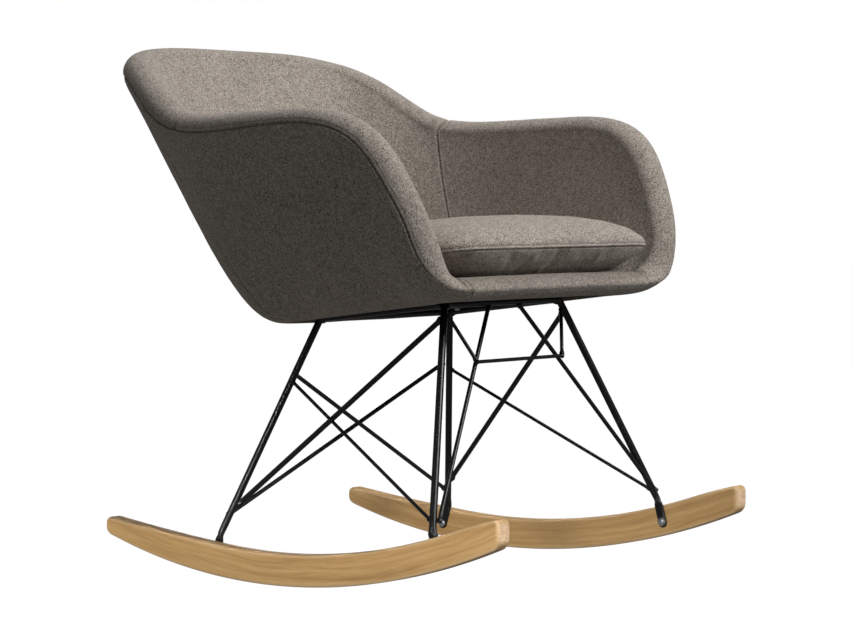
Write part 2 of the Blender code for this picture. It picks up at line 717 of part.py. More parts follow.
# ---------------------------------------------------------------- loose cushion
def cushion():
    """Loose seat cushion: soft edge, crowned top, plan following the bucket."""
    y_mid = (CUSHION_FRONT_Y + CUSHION_REAR_Y) / 2
    half_l = (CUSHION_REAR_Y - CUSHION_FRONT_Y) / 2
    high = CUSHION_TOP - CUSHION_LOW

    def plan(a, k):
        ct, st = math.cos(a), math.sin(a)
        power = 0.22 if st < 0 else 0.22 + 0.40 * st
        px = math.copysign(abs(ct) ** power, ct)
        py = math.copysign(abs(st) ** power, st)
        v = (py + 1) / 2
        half_w = CUSHION_HALF_W * (1 - CUSHION_TAPER * v * v) + CUSHION_FLARE * max(0.0, 1 - 4 * v)
        return px * (half_w - k), y_mid + py * (half_l - k)

    n = 36
    # height as a part of the cushion height, distance in from the widest line
    profile = ((0.00, 0.034), (0.02, 0.025), (0.10, 0.015), (0.22, 0.0075), (0.36, 0.0015), (0.48, 0.0),
               (0.60, 0.001), (0.72, 0.007), (0.82, 0.020), (0.91, 0.045), (0.97, 0.080), (1.00, 0.125))
    rings = []
    for f, k in profile:
        ring = [plan(2 * math.pi * (j + 0.5) / n, k) for j in range(n)]
        rings.append([(x, y, base_z(y) + CUSHION_LOW + f * high) for x, y in ring])
    return add("seat_cushion", *loft(rings), "fabric")


wire_base()
padded_shell()
seat_floor()
front_rail()
cushion()
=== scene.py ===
"""Looks of the upholstered rocking chair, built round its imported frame.

Metres, +Z up, the sitter faces -Y.  Every place comes from the frame's nodes or from the same few
driving dimensions as the chair's own design.
"""
import math
import bpy
import numpy as np
from mathutils import Matrix, Vector, noise


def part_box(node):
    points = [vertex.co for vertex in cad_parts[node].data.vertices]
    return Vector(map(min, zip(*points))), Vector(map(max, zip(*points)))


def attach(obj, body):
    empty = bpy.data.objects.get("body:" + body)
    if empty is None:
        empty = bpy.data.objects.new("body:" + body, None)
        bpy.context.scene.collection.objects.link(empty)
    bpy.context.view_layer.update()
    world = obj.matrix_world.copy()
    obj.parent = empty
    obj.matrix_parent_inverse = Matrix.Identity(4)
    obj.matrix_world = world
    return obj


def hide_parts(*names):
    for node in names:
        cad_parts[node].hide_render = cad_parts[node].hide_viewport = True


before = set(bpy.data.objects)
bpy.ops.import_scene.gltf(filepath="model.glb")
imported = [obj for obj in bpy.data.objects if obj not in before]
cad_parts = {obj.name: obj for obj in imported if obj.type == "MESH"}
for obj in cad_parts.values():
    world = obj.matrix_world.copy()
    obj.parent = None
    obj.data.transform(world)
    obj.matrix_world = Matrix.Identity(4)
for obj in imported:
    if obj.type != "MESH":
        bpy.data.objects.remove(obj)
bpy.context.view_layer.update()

CHAIR, CUSHION = "chair", "cushion"
SIDES = (("right", -1), ("left", 1))
ENDS = ("rear", "front")
MM = 0.001

# ---------------------------------------------------------------- the padded shell's own dimensions
ORIGIN_Y = 0.0410
SEAT_SLOPE = 0.127
SEAT_Z = 0.3222
WALL_T = 0.046
FLOOR_T = 0.027
RAIL_T = 0.034
RAIL_FLOOR_T = 0.015
CAP_H = 0.023               # height of the rolled rim above the wall
RAIL_CAP_H = 0.006
FOOT_INSET = 0.040          # how far the wall's foot lies in from the underside edge
RAIL_INSET = 0.008
WALL_BULGE = 0.010          # outwards on the arms, inwards on the back
S_BACK_SEAM = 4.0
S_ARM_SEAM = 5.0
SEAM_LEAN = 1.3
S_END = 14.0
# half of the rim line, from the middle of the back round to the middle of the front rail:
# rim point (x, y, z), underside edge point (x, y)
STATIONS = [
    (0.000, 0.3090, 0.6550, 0.000, 0.0950),
    (0.095, 0.3040, 0.6540, 0.092, 0.0905),
    (0.162, 0.2860, 0.6465, 0.150, 0.0730),
    (0.201, 0.2410, 0.6275, 0.179, 0.0460),
    (0.223, 0.1800, 0.5900, 0.191, 0.0150),
    (0.237, 0.1120, 0.5620, 0.197, -0.0180),
    (0.251, 0.0100, 0.5590, 0.199, -0.0700),
    (0.2575, -0.0900, 0.5625, 0.200, -0.1200),
    (0.2580, -0.1650, 0.5600, 0.200, -0.1650),
    (0.2500, -0.2165, 0.5375, 0.200, -0.2000),
    (0.2395, -0.2500, 0.4900, 0.199, -0.2300),
    (0.2290, -0.2725, 0.4420, 0.1975, -0.2500),
    (0.2180, -0.2865, 0.4090, 0.1920, -0.2680),
    (0.1970, -0.2935, 0.3870, 0.1780, -0.2810),
    (0.1660, -0.2935, 0.3775, 0.1540, -0.2870),
    (0.1200, -0.2925, 0.3755, 0.1200, -0.2885),
]


def base_z(y):
    """Height of the tilted underside plane; y is measured before ORIGIN_Y is added."""
    return SEAT_Z - SEAT_SLOPE * y


def unit(v):
    return v / np.linalg.norm(v)


def ease(x):
    x = min(1.0, max(0.0, x))
    return x * x * (3 - 2 * x)


def second_derivatives(v):
    """Of the natural cubic spline through equally spaced values; v may hold several columns."""
    n = len(v)
    a = np.zeros((n, n))
    a[0, 0] = a[-1, -1] = 1
    r = np.zeros_like(v)
    for i in range(1, n - 1):
        a[i, i - 1:i + 2] = (1, 4, 1)
        r[i] = 6 * (v[i - 1] - 2 * v[i] + v[i + 1])
    return np.linalg.solve(a, r)


def spline_at(v, m, t):
    """Values of that spline at the positions t, along the first axis."""
    t = np.clip(np.atleast_1d(np.asarray(t, float)), 0, len(v) - 1)
    i = np.minimum(t.astype(int), len(v) - 2)
    f = (t - i).reshape((-1,) + (1,) * (v.ndim - 1))
    g = 1 - f
    return g * v[i] + f * v[i + 1] + ((g ** 3 - g) * m[i] + (f ** 3 - f) * m[i + 1]) / 6


HALF = np.array(STATIONS, float)
LINES = np.vstack([HALF[1:][::-1] * (-1, 1, 1, -1, 1), HALF])
BENDS = second_derivatives(LINES)
MID = len(STATIONS) - 1


def rim(s):
    return spline_at(LINES, BENDS, s + MID)[0][:3]


def edge(s):
    q = spline_at(LINES, BENDS, s + MID)[0]
    return np.array([q[3], q[4], base_z(q[4])])


def section_frame(s):
    h = 0.02
    tr = unit(rim(s + h) - rim(s - h))
    te = edge(s + h) - edge(s - h)
    te[2] = 0
    te = unit(te)
    up = rim(s) - edge(s)
    out_e = np.array([te[1], -te[0], 0.0])
    if out_e @ (rim(s) * (1, 1, 0) - np.array([0, -0.05, 0])) < 0:
        out_e = -out_e
    n = unit(np.cross(tr, up))
    if n @ out_e < 0:
        n = -n
    cap = unit(np.cross(n, tr))
    if cap @ up < 0:
        cap = -cap
    return n, out_e, cap


def wall(s):
    """Outer and inner wall curves of one section, and the direction and height of its rolled cap."""
    n, out_e, cap = section_frame(s)
    front = ease((abs(s) - 10.5) / 3.0)
    t_rim = WALL_T + (RAIL_T - WALL_T) * front
    inset = FOOT_INSET + (RAIL_INSET - FOOT_INSET) * front
    r, e = rim(s), edge(s)
    foot = e - out_e * inset
    foot[2] = base_z(foot[1])
    side = ease((abs(s) - 4.0) / 2.5)
    bulge = WALL_BULGE * (1 - front) * side - WALL_BULGE * (1 - side)
    o1 = e + out_e * t_rim * (0.46 - 0.16 * side)
    o1[2] = base_z(o1[1])
    o3 = r + n * t_rim / 2
    o2 = o1 + (o3 - o1) * (0.28 + 0.12 * side) + n * bulge
    floor = FLOOR_T + (RAIL_FLOOR_T - FLOOR_T) * front
    i0 = foot + np.array([0, 0, floor])
    i1 = e - out_e * t_rim * (0.44 - 0.15 * front)
    i1[2] = base_z(i1[1]) + floor
    i3 = r - n * t_rim / 2
    i2 = i1 + (i3 - i1) * 0.40 + n * bulge * 0.8
    return (foot, o1, o2, o3), (i0, i1, i2, i3), cap * (CAP_H + (RAIL_CAP_H - CAP_H) * front)


# ---------------------------------------------------------------- materials
class Paint:
    """A material, or a node group, under construction."""

    def __init__(self, name=None, tree=None, **shader):
        if tree is None:
            self.material = bpy.data.materials.new(name)
            self.material.use_nodes = True
            tree = self.material.node_tree
            self.shader = tree.nodes["Principled BSDF"]
            for socket, value in shader.items():
                self.shader.inputs[socket.replace("_", " ")].default_value = value
        self.tree = tree

    def feed(self, socket, value):
        if isinstance(value, bpy.types.Node):
            value = value.outputs[0]
        if isinstance(value, bpy.types.NodeSocket):
            self.tree.links.new(value, socket)
        else:
            socket.default_value = value

    def add(self, kind, *inputs, props=(), **named):
        node = self.tree.nodes.new("ShaderNode" + kind)
        for key, value in dict(props).items():
            setattr(node, key, value)
        for k, value in enumerate(inputs):
            if value is not None:
                self.feed(node.inputs[k], value)
        for key, value in named.items():
            self.feed(node.inputs[key.replace("_", " ")], value)
        return node

    def math(self, operation, a, b=0.0, clamp=False):
        return self.add("Math", a, b, props={"operation": operation, "use_clamp": clamp})

    def noise(self, vector, scale, detail=2.0, rough=0.5):
        return self.add("TexNoise", Vector=vector, Scale=scale, Detail=detail, Roughness=rough)

    def stretched(self, vector, scale):
        return self.add("Mapping", Vector=vector, Scale=scale)

    def ramp(self, factor, stops):
        node = self.add("ValToRGB", factor)
        ramp = node.color_ramp
        while len(ramp.elements) < len(stops):
            ramp.elements.new(0.5)
        for element, (at, colour) in zip(ramp.elements, stops):
            element.position = at
            element.color = (*colour, 1.0)
        return node

    def mix(self, factor, a, b, blend="MIX"):
        node = self.tree.nodes.new("ShaderNodeMix")
        node.data_type = "RGBA"
        node.blend_type = blend
        for key, value in ((0, factor), (6, a), (7, b)):
            if isinstance(value, tuple):
                value = (*value, 1.0)
            self.feed(node.inputs[key], value)
        return node.outputs[2]

    def attribute(self, name, vector=False):
        node = self.add("Attribute", props={"attribute_name": name})
        return node.outputs["Vector" if vector else "Fac"]

    def bump(self, height, distance, strength, after=None):
        node = self.add("Bump", Height=height, Distance=distance, Strength=strength)
        if after is not None:
            self.feed(node.inputs["Normal"], after)
        return node

    def wear(self, colour=None, rough=None, normal=None):
        for socket, value in (("Base Color", colour), ("Roughness", rough), ("Normal", normal)):
            if value is not None:
                self.feed(self.shader.inputs[socket], value)
        return self.material


def weave_group(pitch):
    """Plain weave in one plane: inputs are two lengths, outputs are height and which yarn is on top."""
    tree = bpy.data.node_groups.new("plain_weave", "ShaderNodeTree")
    for name in ("U", "V"):
        tree.interface.new_socket(name, in_out="INPUT", socket_type="NodeSocketFloat")
    for name in ("Height", "Over"):
        tree.interface.new_socket(name, in_out="OUTPUT", socket_type="NodeSocketFloat")
    p = Paint(tree=tree)
    given = tree.nodes.new("NodeGroupInput")
    result = tree.nodes.new("NodeGroupOutput")
    wave = [p.math("SINE", p.math("MULTIPLY", given.outputs[k], math.pi / pitch)) for k in (0, 1)]
    yarn = [p.math("POWER", p.math("ABSOLUTE", w), 0.55) for w in wave]
    over = p.math("MULTIPLY_ADD", p.math("MULTIPLY", wave[0], wave[1]), 4.0, clamp=True)
    over.inputs[2].default_value = 0.5
    low = p.math("MULTIPLY", yarn[0], p.math("SUBTRACT", 1.0, over))
    high = p.math("MULTIPLY", yarn[1], over)
    p.feed(result.inputs[0], p.math("ADD", low, high))
    p.feed(result.inputs[1], over)
    return tree


def fabric_material(name, dark, light, pitch=1.25 * MM):
    """Heathered plain weave, worked out in three planes so that it needs no unwrapping."""
    p = Paint(name, Roughness=0.92, Sheen_Weight=0.22, Sheen_Roughness=0.45,
              Specular_IOR_Level=0.15)
    p.shader.inputs["Sheen Tint"].default_value = (0.95, 0.90, 0.85, 1.0)
    place = p.add("TexCoord")
    where, facing = place.outputs["Object"], place.outputs["Normal"]
    xyz = p.add("SeparateXYZ", where)
    sharp = p.add("VectorMath", facing, facing, props={"operation": "MULTIPLY"})
    sharp = p.add("SeparateXYZ", p.add("VectorMath", sharp, sharp, props={"operation": "MULTIPLY"}))
    group = weave_group(pitch)
    height = None
    total = None
    over = None
    for k, (u, v) in enumerate(((1, 2), (0, 2), (0, 1))):
        plane = p.tree.nodes.new("ShaderNodeGroup")
        plane.node_tree = group
        p.feed(plane.inputs[0], xyz.outputs[u])
        p.feed(plane.inputs[1], xyz.outputs[v])
        part = p.math("MULTIPLY", plane.outputs[0], sharp.outputs[k])
        part_over = p.math("MULTIPLY", plane.outputs[1], sharp.outputs[k])
        height = part if height is None else p.math("ADD", height, part)
        over = part_over if over is None else p.math("ADD", over, part_over)
        total = sharp.outputs[k] if total is None else p.math("ADD", total, sharp.outputs[k])
    height = p.math("DIVIDE", height, total)
    over = p.math("DIVIDE", over, total)
    fleck = p.noise(where, 600.0, 3.0, 0.75)
    blotch = p.noise(where, 150.0, 2.0, 0.6)
    slub = p.noise(p.stretched(where, (240.0, 240.0, 1500.0)), 1.0, 2.0, 0.6)
    cloud = p.noise(where, 9.0, 2.0, 0.5)
    tone = p.math("MULTIPLY", fleck, 0.80)
    for source, share in ((blotch, 0.12), (slub, 0.12), (cloud, 0.05), (over, 0.06)):
        tone = p.math("ADD", tone, p.math("MULTIPLY", source, share))
    middle = tuple((a + b) / 2 for a, b in zip(dark, light))
    colour = p.ramp(tone, ((0.46, dark), (0.575, middle), (0.69, light)))
    # painted shade: the cloth is darkened where it dips into seams and stitch grooves, standing in for the
    # shade that falls there
    painted_seam_shade = p.math("MULTIPLY", p.attribute("seam_shade"), 0.55, clamp=True)
    colour = p.mix(painted_seam_shade, colour.outputs[0], tuple(c * 0.45 for c in dark))
    rough = p.add("MapRange", fleck, To_Min=0.86, To_Max=0.98)
    relief = p.math("ADD", p.math("MULTIPLY", height, 0.55), p.math("MULTIPLY", fleck, 0.75))
    return p.wear(colour, rough, p.bump(relief, 0.5 * MM, 0.75))


def thread_material(name, colour):
    p = Paint(name, Roughness=0.7, Sheen_Weight=0.15)
    where = p.add("TexCoord").outputs["Object"]
    twist = p.noise(p.stretched(where, (900.0, 900.0, 900.0)), 1.0, 2.0, 0.6)
    shade = p.ramp(twist, ((0.3, tuple(c * 0.7 for c in colour)), (0.7, colour)))
    return p.wear(shade, None, p.bump(twist, 0.2 * MM, 0.5))


def wood_material():
    """Lacquered beech; the grain attribute holds length, height and width along the bent piece."""
    p = Paint("beech_wood", Roughness=0.42, Coat_Weight=0.22, Coat_Roughness=0.28)
    grain = p.attribute("grain", vector=True)
    wavy = p.noise(p.stretched(grain, (5.0, 22.0, 22.0)), 1.0, 2.0, 0.5)
    bend = p.add("VectorMath", wavy.outputs["Color"], (0.0, 0.020, 0.014), props={"operation": "MULTIPLY"})
    path = p.add("VectorMath", grain, bend, props={"operation": "ADD"})
    rings = p.noise(p.stretched(path, (3.0, 150.0, 90.0)), 1.0, 3.0, 0.55)
    streak = p.noise(p.stretched(path, (22.0, 900.0, 700.0)), 1.0, 3.0, 0.65)
    pore = p.noise(p.stretched(path, (90.0, 2200.0, 2200.0)), 1.0, 1.0, 0.5)
    fleck = p.math("GREATER_THAN", pore, 0.66)
    tone = p.math("ADD", p.math("MULTIPLY", rings, 0.62), p.math("MULTIPLY", streak, 0.38))
    body = p.ramp(tone, ((0.30, (0.36, 0.195, 0.070)), (0.48, (0.53, 0.315, 0.120)),
                         (0.68, (0.66, 0.43, 0.190))))
    body = p.mix(p.math("MULTIPLY", fleck, 0.35), body.outputs[0], (0.30, 0.165, 0.065))
    rays = p.noise(p.stretched(grain, (500.0, 260.0, 260.0)), 1.0, 3.0, 0.7)
    cut = p.ramp(rays, ((0.30, (0.56, 0.36, 0.19)), (0.55, (0.80, 0.58, 0.37)), (0.75, (0.92, 0.76, 0.58))))
    end = p.attribute("end_grain")
    colour = p.mix(end, body, cut.outputs[0])
    # painted highlight: the rounded edges are mixed towards pale tan, standing in for the light that their
    # curve catches
    edge = p.attribute("painted_edge_highlight")
    colour = p.mix(p.math("MULTIPLY", edge, 0.28), colour, (0.90, 0.72, 0.48))
    rough = p.add("MapRange", streak, To_Min=0.34, To_Max=0.52)
    relief = p.math("ADD", p.math("MULTIPLY", streak, 0.6), p.math("MULTIPLY", fleck, -0.5))
    return p.wear(colour, rough, p.bump(relief, 0.12 * MM, 0.6))


def metal_material(name, colour, metal, rough, speck, relief, coat=0.0):
    """Coated or plated steel: colour, roughness range, grain size of the surface, depth of its relief."""
    p = Paint(name, Metallic=metal, Coat_Weight=coat, Coat_Roughness=0.2, Specular_IOR_Level=0.35)
    where = p.add("TexCoord").outputs["Object"]
    peel = p.noise(where, speck, 2.0, 0.5)
    cloud = p.noise(where, 35.0, 3.0, 0.6)
    scratch = p.noise(p.stretched(where, (2600.0, 300.0, 300.0)), 1.0, 1.0, 0.5)
    shade = p.ramp(p.math("ADD", p.math("MULTIPLY", cloud, 0.6), p.math("MULTIPLY", scratch, 0.4)),
                   ((0.35, tuple(c * 0.72 for c in colour)), (0.65, colour)))
    gloss = p.add("MapRange", p.math("ADD", p.math("MULTIPLY", peel, 0.4), p.math("MULTIPLY", cloud, 0.6)),
                  To_Min=rough[0], To_Max=rough[1])
    return p.wear(shade, gloss, p.bump(peel, relief, 0.5))


def lining_material():
    """Black non-woven dust cover with its pattern of little heat-sealed points."""
    p = Paint("dust_lining", Roughness=0.9, Sheen_Weight=0.1)
    where = p.add("TexCoord").outputs["Object"]
    fibre = p.noise(p.stretched(where, (500.0, 900.0, 500.0)), 1.0, 3.0, 0.7)
    points = p.add("TexVoronoi", Vector=p.stretched(where, (330.0, 330.0, 330.0)), Scale=1.0, Randomness=0.25)
    dent = p.math("MULTIPLY", p.math("SMOOTH_MIN", points.outputs["Distance"], 0.35), 2.5)
    shade = p.ramp(fibre, ((0.3, (0.010, 0.010, 0.011)), (0.7, (0.035, 0.034, 0.034))))
    return p.wear(shade, None, p.bump(p.math("ADD", dent, p.math("MULTIPLY", fibre, 0.4)), 0.3 * MM, 0.6))


def plain_material(name, dark, light, rough, speck, relief, stretch=(1.0, 1.0, 1.0)):
    """Moulded plastic, rubber or the board's face: mottled colour and a fine relief."""
    p = Paint(name, Specular_IOR_Level=0.4)
    where = p.stretched(p.add("TexCoord").outputs["Object"], stretch)
    fine = p.noise(where, speck, 3.0, 0.6)
    cloud = p.noise(where, speck * 0.07, 2.0, 0.5)
    tone = p.math("ADD", p.math("MULTIPLY", fine, 0.6), p.math("MULTIPLY", cloud, 0.4))
    shade = p.ramp(tone, ((0.32, dark), (0.68, light)))
    gloss = p.add("MapRange", fine, To_Min=rough - 0.08, To_Max=rough + 0.08)
    return p.wear(shade, gloss, p.bump(fine, relief, 0.5))


FABRIC = fabric_material("woven_fabric", (0.088, 0.073, 0.061), (0.540, 0.480, 0.418))
THREAD = thread_material("sewing_thread", (0.60, 0.55, 0.48))
WOOD = wood_material()
STEEL = metal_material("black_coated_steel", (0.008, 0.008, 0.009), 0.0, (0.26, 0.40), 900.0, 0.03 * MM, 0.06)
ZINC = metal_material("zinc_plated_steel", (0.66, 0.71, 0.75), 1.0, (0.22, 0.42), 700.0, 0.05 * MM)
LINING = lining_material()
CORE = plain_material("moulded_core", (0.035, 0.035, 0.037), (0.070, 0.070, 0.072), 0.55, 420.0, 0.2 * MM)
RUBBER = plain_material("mount_rubber", (0.010, 0.010, 0.010), (0.028, 0.028, 0.028), 0.75, 900.0, 0.1 * MM)
BOARD = plain_material("seat_plywood", (0.36, 0.235, 0.12), (0.62, 0.46, 0.27), 0.6, 26.0, 0.3 * MM,
                       (1.0, 9.0, 9.0))

# ---------------------------------------------------------------- mesh helpers


def piece(name, verts, faces, look, body=CHAIR, stands_for=(), sharp=None, attributes=None):
    """One finished piece of the chair: mesh, material, body, and the CAD nodes it stands for."""
    mesh = bpy.data.meshes.new(name)
    mesh.from_pydata([tuple(map(float, v)) for v in verts], [], faces)
    mesh.validate()
    for key, values in (attributes or {}).items():
        values = np.asarray(values, np.float32)
        kind = "FLOAT_VECTOR" if values.ndim == 2 else "FLOAT"
        layer = mesh.attributes.new(key, kind, "POINT")
        layer.data.foreach_set("vector" if values.ndim == 2 else "value", values.ravel())
    mesh.update()
    volume = sum(f.area * f.normal.dot(f.center) for f in mesh.polygons)
    if volume < 0:
        mesh.flip_normals()
    mesh.materials.append(look)
    mesh.shade_smooth()
    if sharp:
        mesh.set_sharp_from_angle(angle=math.radians(sharp))
    ob = bpy.data.objects.new(name, mesh)
    bpy.context.scene.collection.objects.link(ob)
    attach(ob, body)
    if stands_for:
        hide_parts(*stands_for)
    return ob


class Heap:
    """Vertices and faces of several closed shells that make up one piece."""

    def __init__(self):
        self.verts, self.faces = [], []

    def put(self, verts, faces):
        n = len(self.verts)
        self.verts += [tuple(v) for v in verts]
        self.faces += [tuple(n + i for i in f) for f in faces]


def rings_to_faces(rings, around):
    """Quads of a tube of equal rings, closed at both ends."""
    faces = [(i * around + j, i * around + (j + 1) % around, (i + 1) * around + (j + 1) % around,
              (i + 1) * around + j) for i in range(rings - 1) for j in range(around)]
    faces.append(tuple(range(around))[::-1])
    faces.append(tuple((rings - 1) * around + j for j in range(around)))
    return faces


def frame_of(direction):
    d = unit(np.asarray(direction, float))
    side = np.cross(d, (0, 0, 1))
    if np.linalg.norm(side) < 0.05:
        side = np.cross(d, (0, 1, 0))
    side = unit(side)
    return d, side, np.cross(side, d)


def turned(origin, axis, profile, around, shape=None):
    """Turned body from (radius, distance) pairs; shape(k, angle) scales the radius of ring k."""
    d, u, v = frame_of(axis)
    verts = []
    for k, (r, h) in enumerate(profile):
        for j in range(around):
            a = 2 * math.pi * j / around
            ra = r * (shape(k, a) if shape else 1.0)
            verts.append(np.asarray(origin) + d * h + (u * math.cos(a) + v * math.sin(a)) * ra)
    return verts, rings_to_faces(len(profile), around)


def round_in(x, r):
    """How far a surface has turned inwards, at the distance x from an edge of rounding radius r."""
    left = np.clip(r - np.asarray(x, float), 0, r)
    return r - np.sqrt(np.maximum(r * r - left * left, 0))


def spread(a, b, coarse, fine, reach):
    """Positions from a to b, fine within reach of each end and coarse between."""
    span = abs(b - a)
    near = np.arange(0, reach, fine)
    steps = max(2, int(round((span - 2 * reach) / coarse)))
    middle = np.linspace(reach, span - reach, steps + 1)
    out = np.concatenate([near, middle, span - near[::-1]])
    return a + out * (1 if b > a else -1)


def surface_normals(p):
    du = np.gradient(p, axis=0)
    dv = np.gradient(p, axis=1)
    n = np.cross(du, dv)
    return n / np.maximum(np.linalg.norm(n, axis=2, keepdims=True), 1e-12)


def lengths(p, axis):
    """Distance travelled along an axis of the grid, from its first line."""
    step = np.linalg.norm(np.diff(p, axis=axis), axis=2)
    pad = [(1, 0), (0, 0)] if axis == 0 else [(0, 0), (1, 0)]
    return np.pad(np.cumsum(step, axis=axis), pad)


def rumple(p, scale, seed):
    """Smooth random field over the points of a grid."""
    offset = Vector((seed * 7.3, seed * 3.1, seed * 5.7))
    flat = p.reshape(-1, 3)
    out = [noise.noise(Vector(q) / scale + offset) for q in flat]
    return np.array(out).reshape(p.shape[:2])


def pucker(along, across, wave, reach, seed):
    """Little gathers that stand across a seam and fade away from it."""
    flat = along.ravel()
    table_at = np.arange(0, flat.max() + wave, wave / 4)
    table = [noise.noise(Vector((x / wave, seed * 4.7, 0.5))) for x in table_at]
    return np.interp(along, table_at, table) * np.exp(-across / reach)


# ---------------------------------------------------------------- sewn panels
TABLE_STEP = 0.02
TABLE_S = np.arange(-S_END - 0.5, S_END + 0.5, TABLE_STEP)
SECTIONS = [wall(s) for s in TABLE_S]
OUTER = np.array([o for o, _, _ in SECTIONS])
INNER = np.array([i for _, i, _ in SECTIONS])
CAPS = np.array([c for _, _, c in SECTIONS])


def points(s, t, w):
    """Shell coordinates to space, for arrays: s round the shell, t up the wall, w from outside in."""
    s, t, w = np.broadcast_arrays(s, t, w)
    k = (s - TABLE_S[0]) / TABLE_STEP
    i = np.clip(k.astype(int), 0, len(TABLE_S) - 2)
    f = (k - i)[..., None]
    low = np.minimum(t, 1)[..., None]

    def curve(table):
        p = [table[i, n] * (1 - f) + table[i + 1, n] * f for n in range(4)]
        g = 1 - low
        return g ** 3 * p[0] + 3 * g * g * low * p[1] + 3 * g * low * low * p[2] + low ** 3 * p[3]

    cap = CAPS[i] * (1 - f) + CAPS[i + 1] * f
    w = w[..., None]
    out = curve(OUTER) * (1 - w) + curve(INNER) * w + cap * np.maximum(t - 1, 0)[..., None]
    return out + (0, ORIGIN_Y, 0)


SOFT = 0.5 * MM               # depth of the soft unevenness of stretched padding


class Edge:
    """One sewn edge of a panel: how far it turns in, its stitch line, gathers, and how strong the painted
    shade in its valley is.
    """

    def __init__(self, turn, stitch=0.0, gather=0.0, wave=11 * MM, dark=0.8):
        self.turn, self.stitch, self.gather, self.wave, self.dark = turn, stitch, gather, wave, dark


def stitch_row(heap, line, normals, pitch=3.9 * MM, length=3.3 * MM, r=0.46 * MM):
    """Thread showing between its holes along a line on the cloth."""
    at = np.concatenate([[0], np.cumsum(np.linalg.norm(np.diff(line, axis=0), axis=1))])
    across = 6
    stations = ((-0.5, 0.25, -0.9), (-0.38, 0.85, 0.0), (0.0, 1.0, 0.45), (0.38, 0.85, 0.0),
                (0.5, 0.25, -0.9))
    for c in np.arange(pitch, at[-1] - pitch, pitch):
        verts = []
        for along, wide, lift in stations:
            p = np.array([np.interp(c + along * length, at, line[:, k]) for k in range(3)])
            if along == stations[0][0]:
                q = np.array([np.interp(c + 0.5 * length, at, line[:, k]) for k in range(3)])
                d = unit(q - p)
                n = unit(np.array([np.interp(c, at, normals[:, k]) for k in range(3)]))
                side = unit(np.cross(d, n))
            middle = p + n * (lift * r)
            for j in range(across):
                a = 2 * math.pi * j / across
                verts.append(middle + (side * math.cos(a) + n * math.sin(a)) * (r * wide))
        heap.put(verts, rings_to_faces(len(stations), across))


def line_at(value, distance, grids, axis):
    """The line on a surface where distance reaches value, read along an axis of its grids."""
    out = [[], []]
    count = distance.shape[1 - axis]
    for j in range(count):
        d = distance[:, j] if axis == 0 else distance[j]
        if d[0] > d[-1]:
            d = d[::-1]
            turn = slice(None, None, -1)
        else:
            turn = slice(None)
        for k, grid in enumerate(grids):
            g = (grid[:, j] if axis == 0 else grid[j])[turn]
            out[k].append([np.interp(value, d, g[:, c]) for c in range(3)])
    return np.array(out[0]), np.array(out[1])


def sewn_panel(name, face, core, back, edges, seed, extra=None, stands_for=(), seams=None, along_rim=1.0):
    """Closed, upholstered panel.

    face is the grid of its visible side, rows first; core is the same grid at the middle of the
    padding; back closes it.  edges holds the sewn edges: first row, last row, first and last column.
    """
    normal = surface_normals(face)
    flip = np.sign(np.sum(normal * (face - core), axis=2, keepdims=True))
    normal = normal * np.where(np.median(flip) < 0, -1, 1)
    rows, columns = lengths(face, 0), lengths(face, 1)
    reach = {"first_row": (rows, columns, 0), "last_row": (rows[-1] - rows, columns, 0),
             "first_column": (columns, rows, 1), "last_column": (columns[:, -1:] - columns, rows, 1)}
    shift = SOFT * rumple(face, 0.075, seed) + SOFT * 0.4 * rumple(face, 0.028, seed + 1)
    seam_shade = np.zeros(face.shape[:2])
    for k, (key, e) in enumerate(edges.items()):
        across, along, _ = reach[key]
        tame = along_rim if key == "last_column" else 1.0
        shift = shift - tame * round_in(across, e.turn)
        # painted shade where the cloth turns in at the sewn edge
        seam_shade = np.maximum(seam_shade, tame * e.dark * np.exp(-across / (0.9 * MM)))
        if e.gather:
            shift = shift + e.gather * pucker(along, across, e.wave, 9 * MM, seed + k)
        if e.stitch:
            shift = shift - tame * 0.5 * MM * np.exp(-((across - e.stitch) / (1.2 * MM)) ** 2)
            # painted shade in the stitch groove
            seam_shade = np.maximum(seam_shade, tame * 0.25 * np.exp(-((across - e.stitch) / (0.7 * MM)) ** 2))
    if extra is not None:
        shift = shift + extra(face, rows, columns)
    shaped = face + normal * shift[..., None]
    if seams is not None:
        for key, e in edges.items():
            if e.stitch:
                across, _, axis = reach[key]
                line, up = line_at(e.stitch, across, (shaped, normal), axis)
                if axis == 1:
                    keep = np.broadcast_to(along_rim, (len(line), 1))[:, 0] > 0.3
                    line, up = line[keep], up[keep]
                stitch_row(seams, line, up)
    ring = np.concatenate([shaped, back], axis=1)
    n, m = ring.shape[:2]
    seam_shade = np.concatenate([seam_shade, np.zeros(back.shape[:2])], axis=1)
    made = piece(name, ring.reshape(-1, 3), rings_to_faces(n, m), FABRIC, stands_for=stands_for,
                 attributes={"seam_shade": seam_shade.ravel()})
    return made


ROW_STEP = 5.0 * MM
SEAM_STEP = 0.9 * MM            # finer spacing of points within SEAM_REACH of a seam
SEAM_REACH = 8.1 * MM
WALL_H = 0.26                   # typical height of the wall, used only to space its columns


def rows_between(s0, s1, gap=0.004):
    """Section positions, close together by the seams at both ends."""
    sign = 1 if s1 > s0 else -1
    a, b = s0 + sign * gap, s1 - sign * gap
    dense = np.linspace(a, b, 400)
    line = points(dense, 0.75, 0.5)
    at = np.concatenate([[0], np.cumsum(np.linalg.norm(np.diff(line, axis=0), axis=1))])
    where = spread(0, at[-1], ROW_STEP, SEAM_STEP, SEAM_REACH)
    return np.interp(where, at, dense)


def leaning(s, t, lean0, lean1):
    """Stations of a grid whose ends stand slanted: their feet are moved along the shell."""
    f = ((s - s[0]) / (s[-1] - s[0]))[:, None]
    low = 1 - np.minimum(t, 1.0)
    near0 = np.maximum(0.0, 1 - f * 3)
    near1 = np.maximum(0.0, 1 - (1 - f) * 3)
    return s[:, None] + low * (lean0 * near0 + lean1 * near1)


